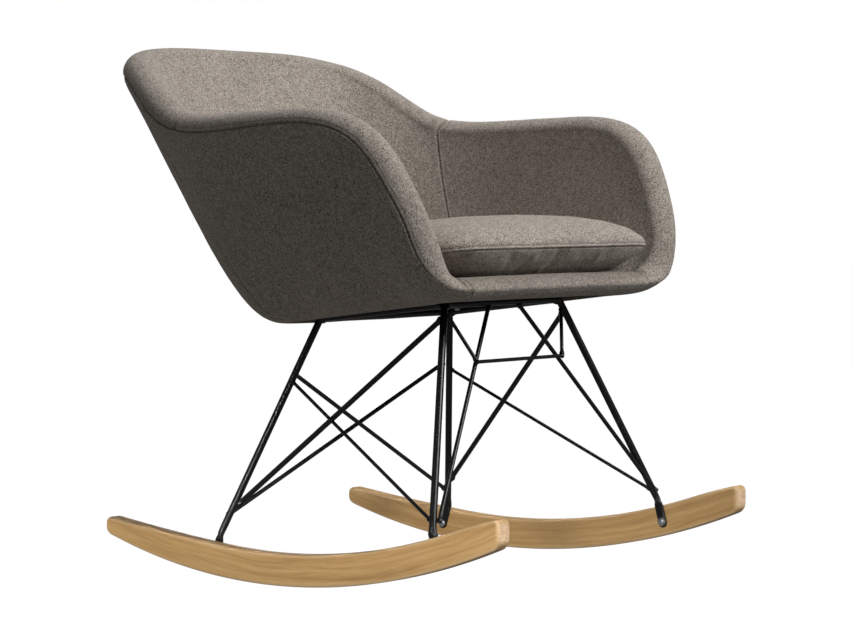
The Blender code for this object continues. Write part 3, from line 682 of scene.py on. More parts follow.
# where the outer seam lies on the roll, at stations 0, 1, 2 ...: 0 is inside the rim, pi outside
SEAM_ANGLE = np.array([3.05, 3.05, 3.02, 2.58, 2.70, 2.84, 2.82, 2.65,
                       2.63, 2.65, 2.50, 2.43, 2.72, 3.05, 3.08, 3.08])
SEAM_BENDS = second_derivatives(SEAM_ANGLE)
SEAM_HALF_GAP = 0.007


def seam_angle(s):
    return spline_at(SEAM_ANGLE, SEAM_BENDS, np.abs(s))[:, None]


def on_roll(angle):
    """Height and depth coordinates on the rolled rim."""
    return 1 + np.sin(angle), 0.5 + 0.5 * np.cos(angle)


def shell_panel(name, s0, s1, face_path, back_path, edges, seed, lean0=0.0, lean1=0.0, **more):
    """A panel between two stations; the paths give (t, w) of every column, for each row."""
    s = rows_between(s0, s1)
    t, w = face_path(s)
    face = points(leaning(s, t, lean0, lean1), t, w)
    core = points(leaning(s, t, lean0, lean1), np.minimum(t, 1.0), 0.5)
    bt, bw = back_path(s)
    back = points(leaning(s, bt, lean0, lean1), bt, bw)
    tame = 1 - 0.9 * np.clip((np.abs(s) - 11.9) / 0.7, 0, 1)
    return sewn_panel(name, face, core, back, edges, seed, along_rim=tame[:, None], **more)


def fixed(s, path):
    """The same columns in every row."""
    w, t = np.array(path).T
    return np.tile(t, (len(s), 1)), np.tile(w, (len(s), 1))


def outside_face(s):
    """Up the outside of the wall and on over the roll, as far as the sewn joint."""
    t0, w0 = fixed(s, [(0.0, q) for q in spread(0.0, WALL_H, ROW_STEP, SEAM_STEP, SEAM_REACH) / WALL_H])
    f = np.linspace(0, 1, 13)[1:]
    t1, w1 = on_roll(math.pi - f * (math.pi - seam_angle(s) - SEAM_HALF_GAP))
    return np.hstack([t0, t1]), np.hstack([w0, w1])


def outside_back(s):
    """The coarse way down inside the wall."""
    return fixed(s, [(0.20, 0.99)] + [(0.21, q) for q in np.linspace(0.95, 0.0, 9)])


UP_INSIDE = 51


def inside_face(s):
    """Up the inside of the wall and over the rolled rim, as far as the sewn joint."""
    t0, w0 = fixed(s, [(1.0, q) for q in np.linspace(0.0, 1.0, UP_INSIDE + 1)[:-1]])
    f = spread(0.0, 1.0, 0.046, 0.0125, 0.11)
    t1, w1 = on_roll(f * (seam_angle(s) - SEAM_HALF_GAP))
    return np.hstack([t0, t1]), np.hstack([w0, w1])


def inside_back(s):
    """The coarse way down the middle of the padding."""
    start = [(0.24, 1.04), (0.30, 1.02), (0.46, 1.0)]
    return fixed(s, start + [(0.46, q) for q in np.linspace(0.92, 0.0, 8)])


def roll_swell(first_rim_column, rounding, ends):
    """The rim's padding stands a little proud, and its ends are drawn in where seams meet."""
    def shape(face, rows, columns):
        count = face.shape[1]
        f = np.clip((np.arange(count) - first_rim_column) / (count - 1 - first_rim_column), 0, 1)
        proud = np.sin(np.pi * f) ** 0.7
        out = 0.9 * MM * proud[None, :] * np.ones(rows.shape)
        drawn = np.clip(f * 3, 0, 1)[None, :]
        for near in ends:
            across = rows if near == "first" else rows[-1] - rows
            out = out - round_in(across, rounding) * drawn * 0.75
        return out
    return shape


# folds at the corner: distance from the rail, depth, width, and lean across the panel
CORNER_FOLDS = ((9 * MM, 3.6 * MM, 1.7 * MM, 0.22), (15 * MM, 1.1 * MM, 1.6 * MM, 0.30),
                (24 * MM, 0.7 * MM, 4.0 * MM, -0.12))


def corner_crease(shape):
    """Adds the soft folds where the arm turns into the front rail."""
    def creased(face, rows, columns):
        out = shape(face, rows, columns)
        across = rows[-1] - rows
        count = face.shape[1]
        rim_share = np.clip((np.arange(count) / (count - 1) - 0.45) / 0.15, 0, 1)[None, :]
        for at, depth, wide, lean in CORNER_FOLDS:
            line = at + lean * (columns - columns[:, -1:] * 0.8)
            out = out - depth * np.exp(-((across - line) / wide) ** 2) * rim_share
        return out
    return creased


def padded_shell():
    seams = Heap()
    side_seam = Edge(1.8 * MM, 3.6 * MM, 0.25 * MM)
    plain_seam = Edge(1.6 * MM, 0.0, 0.25 * MM)
    hem = Edge(1.5 * MM)
    rim_seam = Edge(1.5 * MM, 0.0, 0.30 * MM)
    corner = Edge(0.3 * MM, dark=0.0)
    shell_panel("back_outside", -S_BACK_SEAM, S_BACK_SEAM, outside_face, outside_back,
                {"first_row": side_seam, "last_row": side_seam, "first_column": hem, "last_column": rim_seam},
                11, stands_for=["outer_back_panel"], seams=seams)
    for side, s in SIDES:
        shell_panel("side_outside_" + side, s * S_BACK_SEAM, s * S_END, outside_face, outside_back,
                    {"first_row": plain_seam, "last_row": corner, "first_column": hem,
                     "last_column": rim_seam},
                    21, stands_for=["outer_side_panel_" + side])
    rim_edge = Edge(1.7 * MM, 3.6 * MM, 0.35 * MM)
    inner_seam = Edge(1.7 * MM, 3.2 * MM, 0.20 * MM, 14 * MM)
    shell_panel("back_inside", -S_ARM_SEAM, S_ARM_SEAM, inside_face, inside_back,
                {"first_row": inner_seam, "last_row": inner_seam, "last_column": rim_edge}, 31,
                SEAM_LEAN, -SEAM_LEAN, extra=roll_swell(UP_INSIDE, 6 * MM, ("first", "last")),
                stands_for=["inner_back_pad"], seams=seams)
    for side, s in SIDES:
        shell_panel("arm_inside_" + side, s * S_ARM_SEAM, s * S_END, inside_face, inside_back,
                    {"first_row": inner_seam, "last_row": corner, "last_column": rim_edge}, 41,
                    -s * SEAM_LEAN, extra=corner_crease(roll_swell(UP_INSIDE, 9 * MM, ("first",))),
                    stands_for=["arm_pad_" + side], seams=seams)
    piece("shell_stitching", seams.verts, seams.faces, THREAD)


RAIL_GAP = 0.006            # in stations


def front_rail():
    """Padded band across the front, between the two arm ends."""
    arc = [math.pi * k / 22 for k in range(1, 22)]
    path = [(0.0, t) for t in np.linspace(0, 1, 14)]
    path += [(0.5 - 0.5 * math.cos(a), 1 + math.sin(a)) for a in arc]
    path += [(1.0, t) for t in np.linspace(1, 0, 8)]
    w, t = np.array(path).T
    end = points(S_END + RAIL_GAP, t, w)
    middle = points(S_END + RAIL_GAP, np.minimum(t, 1), 0.5)
    half = end[0, 0]
    x = spread(half, -half, ROW_STEP, SEAM_STEP, SEAM_REACH) / half
    rise = 1.5 * MM * (1 - x ** 2)[:, None]
    height = np.clip((end[:, 2] - end[:, 2].min()) / 0.03, 0, 1)

    def carried(section):
        grid = np.repeat(section[None], len(x), axis=0)
        grid[..., 0] *= x[:, None]
        grid[..., 2] += rise * height[None, :]
        return grid

    face, core = carried(end), carried(middle)
    back = core[:, [-1, 0]] * 0.5 + face[:, [-1, 0]] * 0.5

    def slack(face, rows, columns):
        wave = rumple(face * (1, 0.2, 0.2), 0.055, 61) * 0.7 * MM
        return wave + 1.0 * MM * np.sin(np.pi * columns / columns[:, -1:])

    joint = Edge(0.3 * MM, 0, 0.4 * MM, 9 * MM, 0.0)
    sewn_panel("rail_front", face, core, back, {"first_row": joint, "last_row": joint}, 51,
               extra=slack, stands_for=["front_rail"])


# the deck's section from its foot to its middle: share of the outline, height over the seat plane
DECK_FOOT, DECK_TOP = 0.0208, 0.0268
DECK_SEAM = 0.912
DECK = ((0.970, DECK_FOOT), (0.975, DECK_FOOT + 2 * MM), (0.973, DECK_TOP - 2 * MM),
        (0.962, DECK_TOP - 0.3 * MM), (0.945, DECK_TOP), (0.925, DECK_TOP + 0.1 * MM),
        (DECK_SEAM, DECK_TOP - 0.5 * MM), (0.900, DECK_TOP + 0.1 * MM), (0.80, DECK_TOP + 0.7 * MM),
        (0.60, DECK_TOP + 1.0 * MM), (0.35, DECK_TOP + 1.2 * MM), (0.1, DECK_TOP + 1.2 * MM))


def seat_deck():
    """Thin padded deck under the loose cushion, with a stitched border."""
    low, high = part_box("seat_deck_pad")
    rim_s = np.linspace(-S_END, S_END, 150)
    foot = points(rim_s, 0.0, 0.0)
    outline = foot[:, :2].copy()
    middle = np.array([0.0, (low[1] + high[1]) / 2])
    rings = []
    seam_shade = []
    for share, height in DECK:
        plan = middle + (outline - middle) * share
        z = SEAT_Z - SEAT_SLOPE * (plan[:, 1] - ORIGIN_Y) + height
        rings.append(np.column_stack([plan, z]))
        # painted shade in the groove of the stitched border
        seam_shade.append(np.full(len(plan), 0.8 if share == DECK_SEAM else 0.0))
    verts = np.concatenate(rings)
    made = piece("deck_cover", verts, rings_to_faces(len(rings), len(rim_s)), FABRIC,
                 stands_for=["seat_deck_pad"],
                 attributes={"seam_shade": np.concatenate(seam_shade)})


# ---------------------------------------------------------------- loose cushion
CUSHION_HALF_W = 0.184
CUSHION_FRONT_Y = -0.311
CUSHION_REAR_Y = 0.078
CUSHION_LOW = 0.0300
CUSHION_TOP = 0.1085
WELT_SHARE = 0.38           # height of the welt, as a part of the cushion's height
# distance in from the welt and height, as a part of the whole, of the unstuffed cover
UPPER = ((0.0, 0.38), (0.001, 0.47), (0.005, 0.57), (0.014, 0.69), (0.034, 0.81), (0.066, 0.91),
         (0.184, 0.99))
LOWER = ((0.0, 0.38), (0.004, 0.28), (0.012, 0.17), (0.025, 0.08), (0.043, 0.02), (0.064, 0.0), (0.184, 0.0))
CORNER_PINCH = 0.22         # the corners are thinner than the middle by this part
CELLS = 52


def cushion_cover(profile):
    """One half of the cover as a square grid of points whose border is the welt."""
    k, f = np.array(profile).T
    k = k + 0.0025 * np.minimum(1, k / 0.01)
    high = CUSHION_TOP - CUSHION_LOW
    travelled = np.concatenate([[0], np.cumsum(np.hypot(np.diff(k), np.diff(f) * high))])
    g = np.linspace(-1, 1, CELLS + 1)
    p, q = np.meshgrid(g, g, indexing="ij")
    far = np.maximum(np.maximum(np.abs(p), np.abs(q)), 1e-9)
    inward = (1 - far) * travelled[-1]
    inset, height = np.interp(inward, travelled, k), np.interp(inward, travelled, f)
    height = WELT_SHARE + (height - WELT_SHARE) * (1 - CORNER_PINCH * np.abs(p * q) ** 2.5)
    bx, by = p / far, q / far
    power = 0.25 + 0.37 * np.clip(by, 0, 1) ** 1.5
    m = 2 / power
    scale = np.maximum(np.abs(bx) ** m + np.abs(by) ** m, 1e-9) ** (-1 / m)
    px, py = bx * scale, by * scale
    v = (py + 1) / 2
    half_w = CUSHION_HALF_W * (1 - 0.14 * v * v) + 0.010 * np.maximum(0, 1 - 4 * v)
    half_l = (CUSHION_REAR_Y - CUSHION_FRONT_Y) / 2
    left = 1 - inset / inset.max()
    left[far < 1e-6] = 0
    x = px * half_w * left
    y = (CUSHION_REAR_Y + CUSHION_FRONT_Y) / 2 + py * half_l * left
    return np.stack([x, y + ORIGIN_Y, base_z(y) + CUSHION_LOW + height * high], axis=2)


def joined_at_welt(upper, lower):
    """Points and faces of two square grids that share their border, and where each lower point went."""
    n = len(upper)
    place = np.arange(n * n).reshape(n, n)
    top = place.tolist()
    place[1:-1, 1:-1] = n * n + np.arange((n - 2) ** 2).reshape(n - 2, n - 2)
    low = place.tolist()
    faces = []
    for i in range(n - 1):
        for j in range(n - 1):
            faces.append((top[i][j], top[i + 1][j], top[i + 1][j + 1], top[i][j + 1]))
            faces.append((low[i][j], low[i][j + 1], low[i + 1][j + 1], low[i + 1][j]))
    return np.vstack([upper.reshape(-1, 3), lower[1:-1, 1:-1].reshape(-1, 3)]), faces, place


FILL_FRAMES = 20
WELT_HOLD = 0.7             # how firmly the welt is held while the filling pushes
FILL_REACH = 0.007          # the furthest that a point may be pushed
FILL_SHARE = 0.85


def stuffed(upper, lower):
    """Both halves of the cover after the filling has pushed them out, by cloth simulation."""
    n = CELLS + 1
    start, faces, place = joined_at_welt(upper, lower)
    mesh = bpy.data.meshes.new("cover")
    mesh.from_pydata(start.tolist(), [], faces)
    mesh.update()
    ob = bpy.data.objects.new("cover", mesh)
    bpy.context.scene.collection.objects.link(ob)
    welt = ob.vertex_groups.new(name="welt")
    border = [i * n + j for i in range(n) for j in range(n) if i in (0, CELLS) or j in (0, CELLS)]
    welt.add(border, WELT_HOLD, "ADD")
    cloth = ob.modifiers.new("filling", "CLOTH")
    cloth.settings.quality = 6
    cloth.settings.vertex_group_mass = "welt"
    cloth.settings.tension_stiffness = cloth.settings.compression_stiffness = 25
    cloth.settings.shear_stiffness = 12
    cloth.settings.bending_stiffness = 3.5
    cloth.settings.shrink_min = -0.006
    cloth.settings.use_pressure = True
    cloth.settings.uniform_pressure_force = 4.0
    cloth.settings.effector_weights.gravity = 0
    cloth.collision_settings.use_collision = False
    cloth.point_cache.frame_start, cloth.point_cache.frame_end = 1, FILL_FRAMES
    scene = bpy.context.scene
    for frame_number in range(1, FILL_FRAMES + 1):
        scene.frame_set(frame_number)
    shown = ob.evaluated_get(bpy.context.evaluated_depsgraph_get())
    moved = np.array([v.co for v in shown.data.vertices]) - start
    far = np.linalg.norm(moved, axis=1, keepdims=True)
    start = start + moved * np.minimum(1, FILL_REACH / np.maximum(far, 1e-9)) * FILL_SHARE
    scene.frame_set(1)
    bpy.data.objects.remove(ob)
    return start[:n * n].reshape(n, n, 3), start[place]


def resampled(grid, at):
    """Smooth surface through a grid of points, read at other places along both sides."""
    for _ in range(2):
        n = len(grid)
        flat = grid.reshape(n, -1)
        grid = spline_at(flat, second_derivatives(flat), at).reshape(len(at), -1, 3).transpose(1, 0, 2)
    return grid


def cushion_half(grid, up, seed):
    """Detail at the welt, soft waves and the painted shade of the welt groove on one half; up is +1 on the
    upper half.
    """
    normal = surface_normals(grid)
    if (normal[..., 2].mean() > 0) != (up > 0):
        normal = -normal
    rows, columns = lengths(grid, 0), lengths(grid, 1)
    sides = ((rows, columns), (rows[-1] - rows, columns), (columns, rows), (columns[:, -1:] - columns, rows))
    across = np.minimum.reduce([a for a, _ in sides])
    shift = 0.5 * MM * rumple(grid, 0.085, seed) + 0.25 * MM * rumple(grid, 0.03, seed + 1)
    gathers = sum(pucker(b, a, 15 * MM, 15 * MM, seed + 3 + k)
                  + 0.8 * pucker(b, a, 4.5 * MM, 5 * MM, seed + 9 + k) for k, (a, b) in enumerate(sides))
    shift += (0.4 if up > 0 else 0.7) * MM * gathers
    shift *= np.clip(across / (2.5 * MM), 0, 1)
    shift -= 0.8 * MM * np.exp(-((across - 2.7 * MM) / (1.2 * MM)) ** 2)
    shift += 0.7 * MM * np.exp(-(across / (1.3 * MM)) ** 2)
    # painted shade in the groove beside the welt, stronger on the lower half, which faces away from the light
    seam_shade = (0.2 if up > 0 else 0.55) * np.exp(-((across - 2.7 * MM) / (0.8 * MM)) ** 2)
    return grid + normal * shift[..., None], seam_shade


def cushion():
    upper, lower = stuffed(cushion_cover(UPPER), cushion_cover(LOWER))
    side = spread(0.0, 0.46, 2.9 * MM, 0.8 * MM, 6.5 * MM) / 0.46 * CELLS
    upper, seam_up = cushion_half(resampled(upper, side), 1, 71)
    lower, seam_low = cushion_half(resampled(lower, side), -1, 81)
    verts, faces, _ = joined_at_welt(upper, lower)
    seam_shade = np.concatenate([seam_up.ravel(), seam_low[1:-1, 1:-1].ravel()])
    made = piece("loose_cushion", verts, faces, FABRIC, CUSHION, ["seat_cushion"],
                 attributes={"seam_shade": seam_shade})


# ---------------------------------------------------------------- wire base
ROUND = 20


def rod_axis(name):
    """Both ends and the radius of a straight rod node."""
    co = np.array([v.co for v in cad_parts[name].data.vertices])
    middle = co.mean(axis=0)
    d = np.linalg.svd(co - middle, full_matrices=False)[2][0]
    t = (co - middle) @ d
    radius = np.linalg.norm(co - middle - np.outer(t, d), axis=1).max()
    return middle + d * t.min(), middle + d * t.max(), radius


def welded_rod(name, low_reach=3.0 * MM, high_reach=3.0 * MM, cut_low=False):
    """Round rod run on into its neighbours, with a small weld fillet at each joint."""
    a, b, r = rod_axis(name)
    if a[2] > b[2]:
        a, b = b, a
    d = unit(b - a)
    length = np.linalg.norm(b - a)
    profile = []
    if cut_low:
        profile += [(0.25 * r, -low_reach), (0.8 * r, -low_reach), (r, -low_reach + 0.25 * r), (r, -2.4 * r)]
    else:
        profile += [(0.5 * r, -low_reach), (1.42 * r, -low_reach + 0.4 * MM)]
    for q, k in ((-0.3, 1.46), (0.15, 1.34), (0.6, 1.14), (1.2, 1.03), (2.2, 1.0)):
        profile.append((k * r, q * r))
    profile += [(r, length * f) for f in (0.25, 0.5, 0.75)]
    for q, k in ((2.2, 1.0), (1.2, 1.03), (0.6, 1.14), (0.15, 1.34), (-0.3, 1.46)):
        profile.append((k * r, length - q * r))
    profile += [(1.42 * r, length + high_reach - 0.4 * MM), (0.5 * r, length + high_reach)]
    verts, faces = turned(a, d, profile, ROUND)
    return piece("rod_" + name, verts, faces, STEEL, stands_for=[name], sharp=50)


LEG_R = 0.0045
TAB_THICK = 0.0040
TAB_HALF_W = 0.0062
TAB_HEIGHT = 0.030
ROCKER_OUTER_X = 0.236
ROCKER_THICK = 0.022
TAB_X = ROCKER_OUTER_X - ROCKER_THICK - 0.0003 - TAB_THICK / 2
LEG_TOP = {"rear": (0.1203, -0.0070, 0.3252), "front": (0.1070, -0.2092, 0.3500)}
LEG_FOOT = {"rear": (0.0885, 0.0232), "front": (-0.2985, 0.0625)}
BOLT_R = 0.0025
BOLT_HEAD_R = 0.0048


def leg_line(end, s):
    """Top, neck and bolt hole of a leg, and the way the flat tab points up."""
    x, y, z = LEG_TOP[end]
    top = np.array([s * x, y + ORIGIN_Y, z])
    hole = np.array([s * TAB_X, LEG_FOOT[end][0] + ORIGIN_Y, LEG_FOOT[end][1]])
    lean = unit((top - hole) * (0, 1, 1))
    return top, hole + lean * TAB_HEIGHT, hole, lean


def leg(end, side, s):
    """Round leg with a rounded top, pressed flat at the foot into a tab with a rounded end."""
    top, neck, hole, lean = leg_line(end, s)
    down, u, v = frame_of(neck - top)
    wide = np.array([0.0, -lean[2], lean[1]])
    flat = np.array([1.0, 0.0, 0.0])
    if u @ wide < 0:
        u = -u
    v = np.cross(down, u)
    if v @ flat < 0:
        flat = -flat
    verts = []
    count = 0

    def ring(centre, a, b, ra, rb, power=1.0):
        nonlocal count
        count += 1
        for j in range(2 * ROUND):
            t = math.pi * j / ROUND
            c, z = math.cos(t), math.sin(t)
            verts.append(centre + a * (ra * math.copysign(abs(c) ** power, c))
                         + b * (rb * math.copysign(abs(z) ** power, z)))

    for a in np.radians((8, 30, 52, 72, 90)):
        ring(top - down * (LEG_R * math.cos(a)), u, v, LEG_R * math.sin(a), LEG_R * math.sin(a))
    span = np.linalg.norm(neck - top)
    for f in (0.33, 0.66):
        ring(top + down * span * f, u, v, LEG_R, LEG_R)
    for back, k in ((16, 1.0), (12, 1.0), (8, 1.01), (4, 1.06)):
        ring(neck - down * (back * MM), u, v, LEG_R * k, LEG_R * (2.0 - k))
    for step in range(1, 9):
        f = step / 8
        bend = f * f * (3 - 2 * f)
        a, b = unit(u * (1 - bend) + wide * bend), unit(v * (1 - bend) + flat * bend)
        centre = neck - lean * (11 * MM * f - 1 * MM)
        swell = 1.06 + 0.32 * math.sin(math.pi * min(1, f * 0.72))
        ra = LEG_R * swell * (1 - bend) + TAB_HALF_W * bend
        rb = LEG_R * 0.94 * (1 - bend) + TAB_THICK / 2 * bend
        ring(centre, a, b, ra, rb, 1.0 - 0.58 * bend)
    bottom = -TAB_HALF_W - 1.2 * MM
    for a in np.radians((0, 18, 36, 54, 70, 82)):
        ring(hole + lean * (bottom + TAB_HALF_W * (1 - math.sin(a))), wide, flat,
             max(TAB_HALF_W * math.cos(a), 0.8 * MM), TAB_THICK / 2, 0.42)
    piece("leg_shape_%s_%s" % (end, side), verts, rings_to_faces(count, 2 * ROUND), STEEL,
          stands_for=["leg_%s_%s" % (end, side)], sharp=60)


def socket_shape(first):
    """Six flats inside the bolt's socket, from ring number first on."""
    def shape(k, a):
        if k < first:
            return 1.0
        return math.cos(math.pi / 6) / math.cos(a % (math.pi / 3) - math.pi / 6)
    return shape


def bolt(end, side, s):
    """Button-head bolt with a six-sided socket, and its washer."""
    _, _, hole, _ = leg_line(end, s)
    place = hole * (0, 1, 1) + np.array([s * (TAB_X - TAB_THICK / 2), 0, 0])
    axis = (-s, 0, 0)
    h = 1.5 * MM
    head = [(BOLT_R, -6 * MM), (BOLT_R, h), (BOLT_HEAD_R - 0.2 * MM, h), (BOLT_HEAD_R, h + 0.2 * MM),
            (BOLT_HEAD_R, h + 0.7 * MM)]
    for a in (20, 40, 60, 74):
        t = math.radians(a)
        head.append((BOLT_HEAD_R * (0.42 + 0.58 * math.cos(t)), h + (0.7 + 2.0 * math.sin(t)) * MM))
    rim = len(head)
    head += [(1.75 * MM, h + 2.65 * MM), (1.6 * MM, h + 2.3 * MM), (1.6 * MM, h + 1.0 * MM),
             (0.2 * MM, h + 0.7 * MM)]
    verts, faces = turned(place, axis, head, 24, socket_shape(rim))
    piece("bolt_%s_%s" % (end, side), verts, faces, ZINC, stands_for=["foot_bolt_%s_%s" % (end, side)],
          sharp=40)
    washer = [(2.6, 0.15), (2.8, 0.0), (5.3, 0.0), (5.5, 0.2), (5.5, 1.1), (5.3, 1.3), (2.8, 1.3),
              (2.6, 1.15)]
    n = 32
    verts, _ = turned(place, axis, [(r * MM, q * MM) for r, q in washer], n)
    m = len(washer)
    faces = [(i * n + j, i * n + (j + 1) % n, (i + 1) % m * n + (j + 1) % n, (i + 1) % m * n + j)
             for i in range(m) for j in range(n)]
    piece("washer_%s_%s" % (end, side), verts, faces, ZINC, stands_for=["foot_washer_%s_%s" % (end, side)],
          sharp=40)


# ---------------------------------------------------------------- rockers
ROCKER_LENGTH = 0.693
ROCKER_FRONT_Y = -0.4135
ROCKER_R = 1.078
CONTACT_Y = 0.008
ROCKER_H = 0.0400
TAPER_REAR_Y = 0.060
TAPER_FRONT_Y = -0.340
ROCKER_EDGE_R = 4.6 * MM
ROCKER_END_R = 8.5 * MM      # the corners of the ends, seen from the side
ROCKER_TIP_R = 3.5 * MM      # and seen from above


def rocker_bottom(y):
    return ROCKER_R - math.sqrt(ROCKER_R ** 2 - (y - CONTACT_Y) ** 2)


def rocker_top(y):
    rear = max(0.0, (y - TAPER_REAR_Y) / 0.22)
    front = max(0.0, (TAPER_FRONT_Y - y) / 0.08)
    return rocker_bottom(y) + ROCKER_H * (1 - 0.44 * rear ** 2) * (1 - 0.18 * front ** 2)


def rocker(side, s):
    """Bent wooden rocker with rounded edges, its ends sawn off square and eased."""
    x0 = s * (ROCKER_OUTER_X - ROCKER_THICK / 2)
    rear_y = ROCKER_FRONT_Y + ROCKER_LENGTH
    ends = [ROCKER_END_R * (1 - math.cos(math.radians(a))) for a in (0, 22, 44, 62, 76)]
    y_list = [ROCKER_FRONT_Y + d for d in ends]
    y_list += list(np.linspace(ROCKER_FRONT_Y + 1.2 * ROCKER_END_R, rear_y - 1.2 * ROCKER_END_R, 120))
    y_list += [rear_y - d for d in reversed(ends)]
    verts, grain, end_grain, edge_highlight = [], [], [], []
    corner = np.radians((0, 18, 36, 54, 72, 90))
    sections = []
    for y in y_list:
        from_end = min(y - ROCKER_FRONT_Y, rear_y - y)
        low, high = rocker_bottom(y), rocker_top(y)
        half_h = (high - low) / 2 - float(round_in(from_end, ROCKER_END_R))
        half_w = ROCKER_THICK / 2 - float(round_in(from_end, ROCKER_TIP_R))
        e = min(ROCKER_EDGE_R, half_h * 0.85, half_w * 0.62)
        sections.append((y, (low + high) / 2, half_h, half_w, e))
    for inner in (0.80, 0.45):
        y, zm, h, w, e = sections[0]
        sections.insert(0, (y, zm, h * inner, w * inner, e * inner))
        y, zm, h, w, e = sections[-1]
        sections.append((y, zm, h * inner, w * inner, e * inner))
    for y, zm, h, w, e in sections:
        near_end = min(y - ROCKER_FRONT_Y, rear_y - y)
        sawn = float(np.clip(1 - near_end / (1.1 * MM), 0, 1))
        for cx, cz, a0 in ((1, 1, 0), (-1, 1, 90), (-1, -1, 180), (1, -1, 270)):
            for a in corner:
                t = math.radians(a0) + a
                x = x0 + cx * (w - e) + e * math.cos(t)
                z = zm + cz * (h - e) + e * math.sin(t)
                verts.append((x, y + ORIGIN_Y, z))
                grain.append((ROCKER_R * math.asin((y - CONTACT_Y) / ROCKER_R) + 1.7 * s,
                              z - rocker_bottom(y) + 0.4 * s, x))
                end_grain.append(sawn)
                # share of painted highlight, strongest midway round each rounded edge and none on the sawn
                # ends
                edge_highlight.append((1 - sawn) * math.sin(2 * a) ** 2)
    around = 4 * len(corner)
    faces = rings_to_faces(len(sections), around)
    piece("rocker_shape_" + side, verts, faces, WOOD, stands_for=["rocker_" + side],
          attributes={"grain": grain, "end_grain": end_grain, "painted_edge_highlight": edge_highlight})


STAPLES = 40


def staples():
    """Wire staples that hold the dust cover to the board."""
    heap = Heap()
    line = points(np.linspace(-S_END + 0.3, S_END - 0.3, STAPLES), 0.0, 0.0)
    tangent = np.gradient(line, axis=0)
    middle = np.array([0.0, -0.10 + ORIGIN_Y, 0.0])
    for p, t in zip(line, tangent):
        inward = unit((middle - p) * (1, 1, 0))
        o = p + inward * 11 * MM
        o[2] = base_z(o[1] - ORIGIN_Y) + 10.7 * MM
        d = unit(t * (1, 1, 0))
        turn = math.sin(p[0] * 211.0) * 0.22
        c, n = math.cos(turn), math.sin(turn)
        d = np.array([d[0] * c - d[1] * n, d[0] * n + d[1] * c, 0])
        d[2] = -SEAT_SLOPE * d[1]
        wire = [(0.2 * MM, 0), (0.55 * MM, 0.4 * MM), (0.55 * MM, 5.5 * MM), (0.55 * MM, 10.6 * MM),
                (0.2 * MM, 11 * MM)]
        verts, faces = turned(o - d * 5.5 * MM, d, wire, 8)
        heap.put(verts, faces)
    piece("cover_staples", heap.verts, heap.faces, ZINC)


def wire_base():
    for name in ("top_rail_right", "top_rail_left", "top_rail_rear", "top_rail_front"):
        welded_rod(name, 4.5 * MM, 4.5 * MM)
    for side, s in SIDES:
        welded_rod("side_brace_" + side, 22 * MM, cut_low=True)
        for name in ("side_tie_", "rear_cross_", "front_brace_", "hanger_"):
            welded_rod(name + side)
        for end in ENDS:
            leg(end, side, s)
            bolt(end, side, s)
        rocker(side, s)
    welded_rod("hanger_stretcher", 1.5 * MM, 1.5 * MM)
    staples()


def finish_nodes():
    """Materials of the CAD pieces that stay as they are."""
    looks = {"seat_board": (BOARD, "plywood"), "dust_cover": (LINING, "lining_fabric")}
    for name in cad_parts:
        if name.startswith("shell_core"):
            looks[name] = (CORE, "shell_plastic")
        elif name.startswith("mount_pad"):
            looks[name] = (RUBBER, "rubber")
        elif name.startswith("mount_tab"):
            looks[name] = (STEEL, "black_steel")
        elif name.startswith("mount_screw"):
            looks[name] = (ZINC, "zinc_steel")
    for name, (look, slot_name) in looks.items():
        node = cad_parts[name]
        node.data.materials.clear()
        node.data.materials.append(look)


padded_shell()
front_rail()
seat_deck()
cushion()
wire_base()
finish_nodes()

# ---------------------------------------------------------------- floor, light and camera


def area_light(name, place, target, size, power, colour=(1.0, 1.0, 1.0), spread_deg=180):
    light = bpy.data.lights.new(name, "AREA")
    light.shape = "RECTANGLE"
    light.size, light.size_y = size
    light.energy = power
    light.color = colour
    light.spread = math.radians(spread_deg)
    ob = bpy.data.objects.new(name, light)
    bpy.context.scene.collection.objects.link(ob)
    ob.location = place
    ob.visible_camera = False
    ob.rotation_euler = (Vector(target) - Vector(place)).to_track_quat("-Z", "Y").to_euler()
    return ob


WORLD_STRENGTH = 0.155


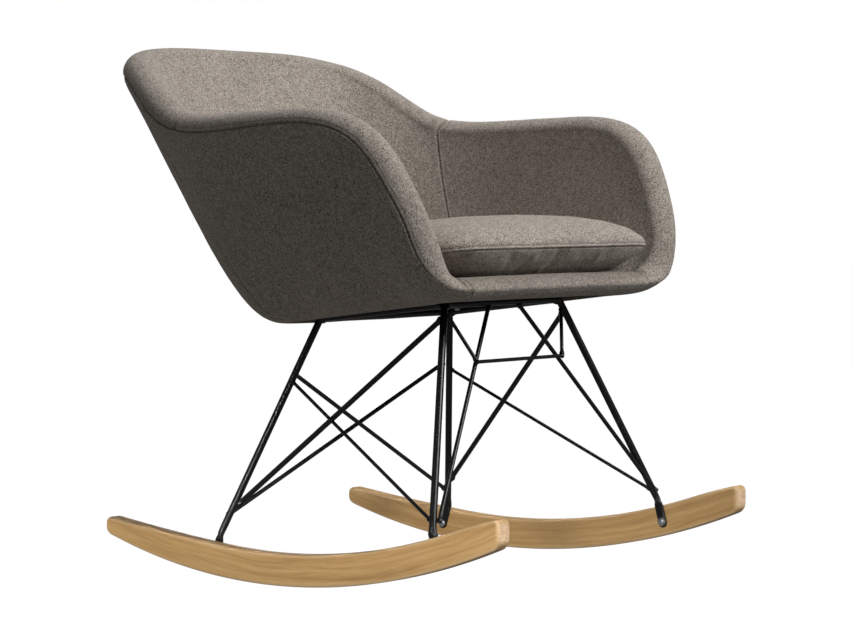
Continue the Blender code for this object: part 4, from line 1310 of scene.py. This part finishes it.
def studio():
    shine = Paint("pale_floor", Roughness=0.9, Specular_IOR_Level=0.0, Emission_Strength=1.0)
    shine.shader.inputs["Base Color"].default_value = (0.03, 0.03, 0.03, 1.0)
    shine.shader.inputs["Emission Color"].default_value = (1.0, 1.0, 1.0, 1.0)
    far, tall = 12.0, 12.0
    sheets = {"floor": [(-far, -far, 0), (far, -far, 0), (far, far, 0), (-far, far, 0)],
              "backdrop": [(-far, far, -1), (far, far, -1), (far, far, tall), (-far, far, tall)],
              "backdrop_side": [(far, -far, -1), (far, far, -1), (far, far, tall), (far, -far, tall)]}
    for name, corners in sheets.items():
        mesh = bpy.data.meshes.new(name)
        mesh.from_pydata(corners, [], [(0, 1, 2, 3)])
        mesh.materials.append(shine.material)
        ob = bpy.data.objects.new(name, mesh)
        ob.location.z = -0.2 * MM
        bpy.context.scene.collection.objects.link(ob)
        ob.visible_diffuse = ob.visible_glossy = ob.visible_shadow = False
    world = bpy.data.worlds.new("studio")
    world.use_nodes = True
    world.node_tree.nodes["Background"].inputs[0].default_value = (1.0, 1.0, 1.0, 1.0)
    world.node_tree.nodes["Background"].inputs[1].default_value = WORLD_STRENGTH
    bpy.context.scene.world = world
    area_light("key", (0.7, -2.8, 2.4), (0.0, -0.1, 0.4), (1.2, 1.0), 86)
    area_light("top", (0.72, 0.22, 2.85), (0.0, 0.0, 0.4), (1.2, 1.2), 36)
    area_light("kicker", (-1.8, -0.7, 0.42), (0.0, 0.0, 0.02), (1.2, 0.06), 0.8, spread_deg=16)
    area_light("gloss", (2.4, 2.3, 0.25), (0.0, 0.0, 0.05), (2.4, 0.35), 2.6)
    bpy.context.scene.view_settings.view_transform = "Standard"


def photo_camera():
    """Low three-quarter view from the front, on the sitter's right."""
    azimuth, elevation, roll = math.radians(-46.566), math.radians(3.231), math.radians(0.256)
    distance, shift_right, shift_up = 3.2589, 0.05586, -0.05130
    target = Vector((0, ORIGIN_Y, 0.3706))
    back = Vector((math.sin(azimuth) * math.cos(elevation), -math.cos(azimuth) * math.cos(elevation),
                   math.sin(elevation)))
    level = Vector((math.cos(azimuth), math.sin(azimuth), 0))
    up = back.cross(level)
    right = level * math.cos(roll) + up * math.sin(roll)
    up = up * math.cos(roll) - level * math.sin(roll)
    data = bpy.data.cameras.new("photo_view")
    data.sensor_width = 36.0
    data.lens = 105.65
    data.clip_start, data.clip_end = 0.1, 200
    cam = bpy.data.objects.new("photo_view", data)
    bpy.context.scene.collection.objects.link(cam)
    turn = Matrix((right, up, back)).transposed().to_4x4()
    turn.translation = target + back * distance + right * shift_right + up * shift_up
    cam.matrix_world = turn
    bpy.context.scene.camera = cam


studio()
photo_camera()
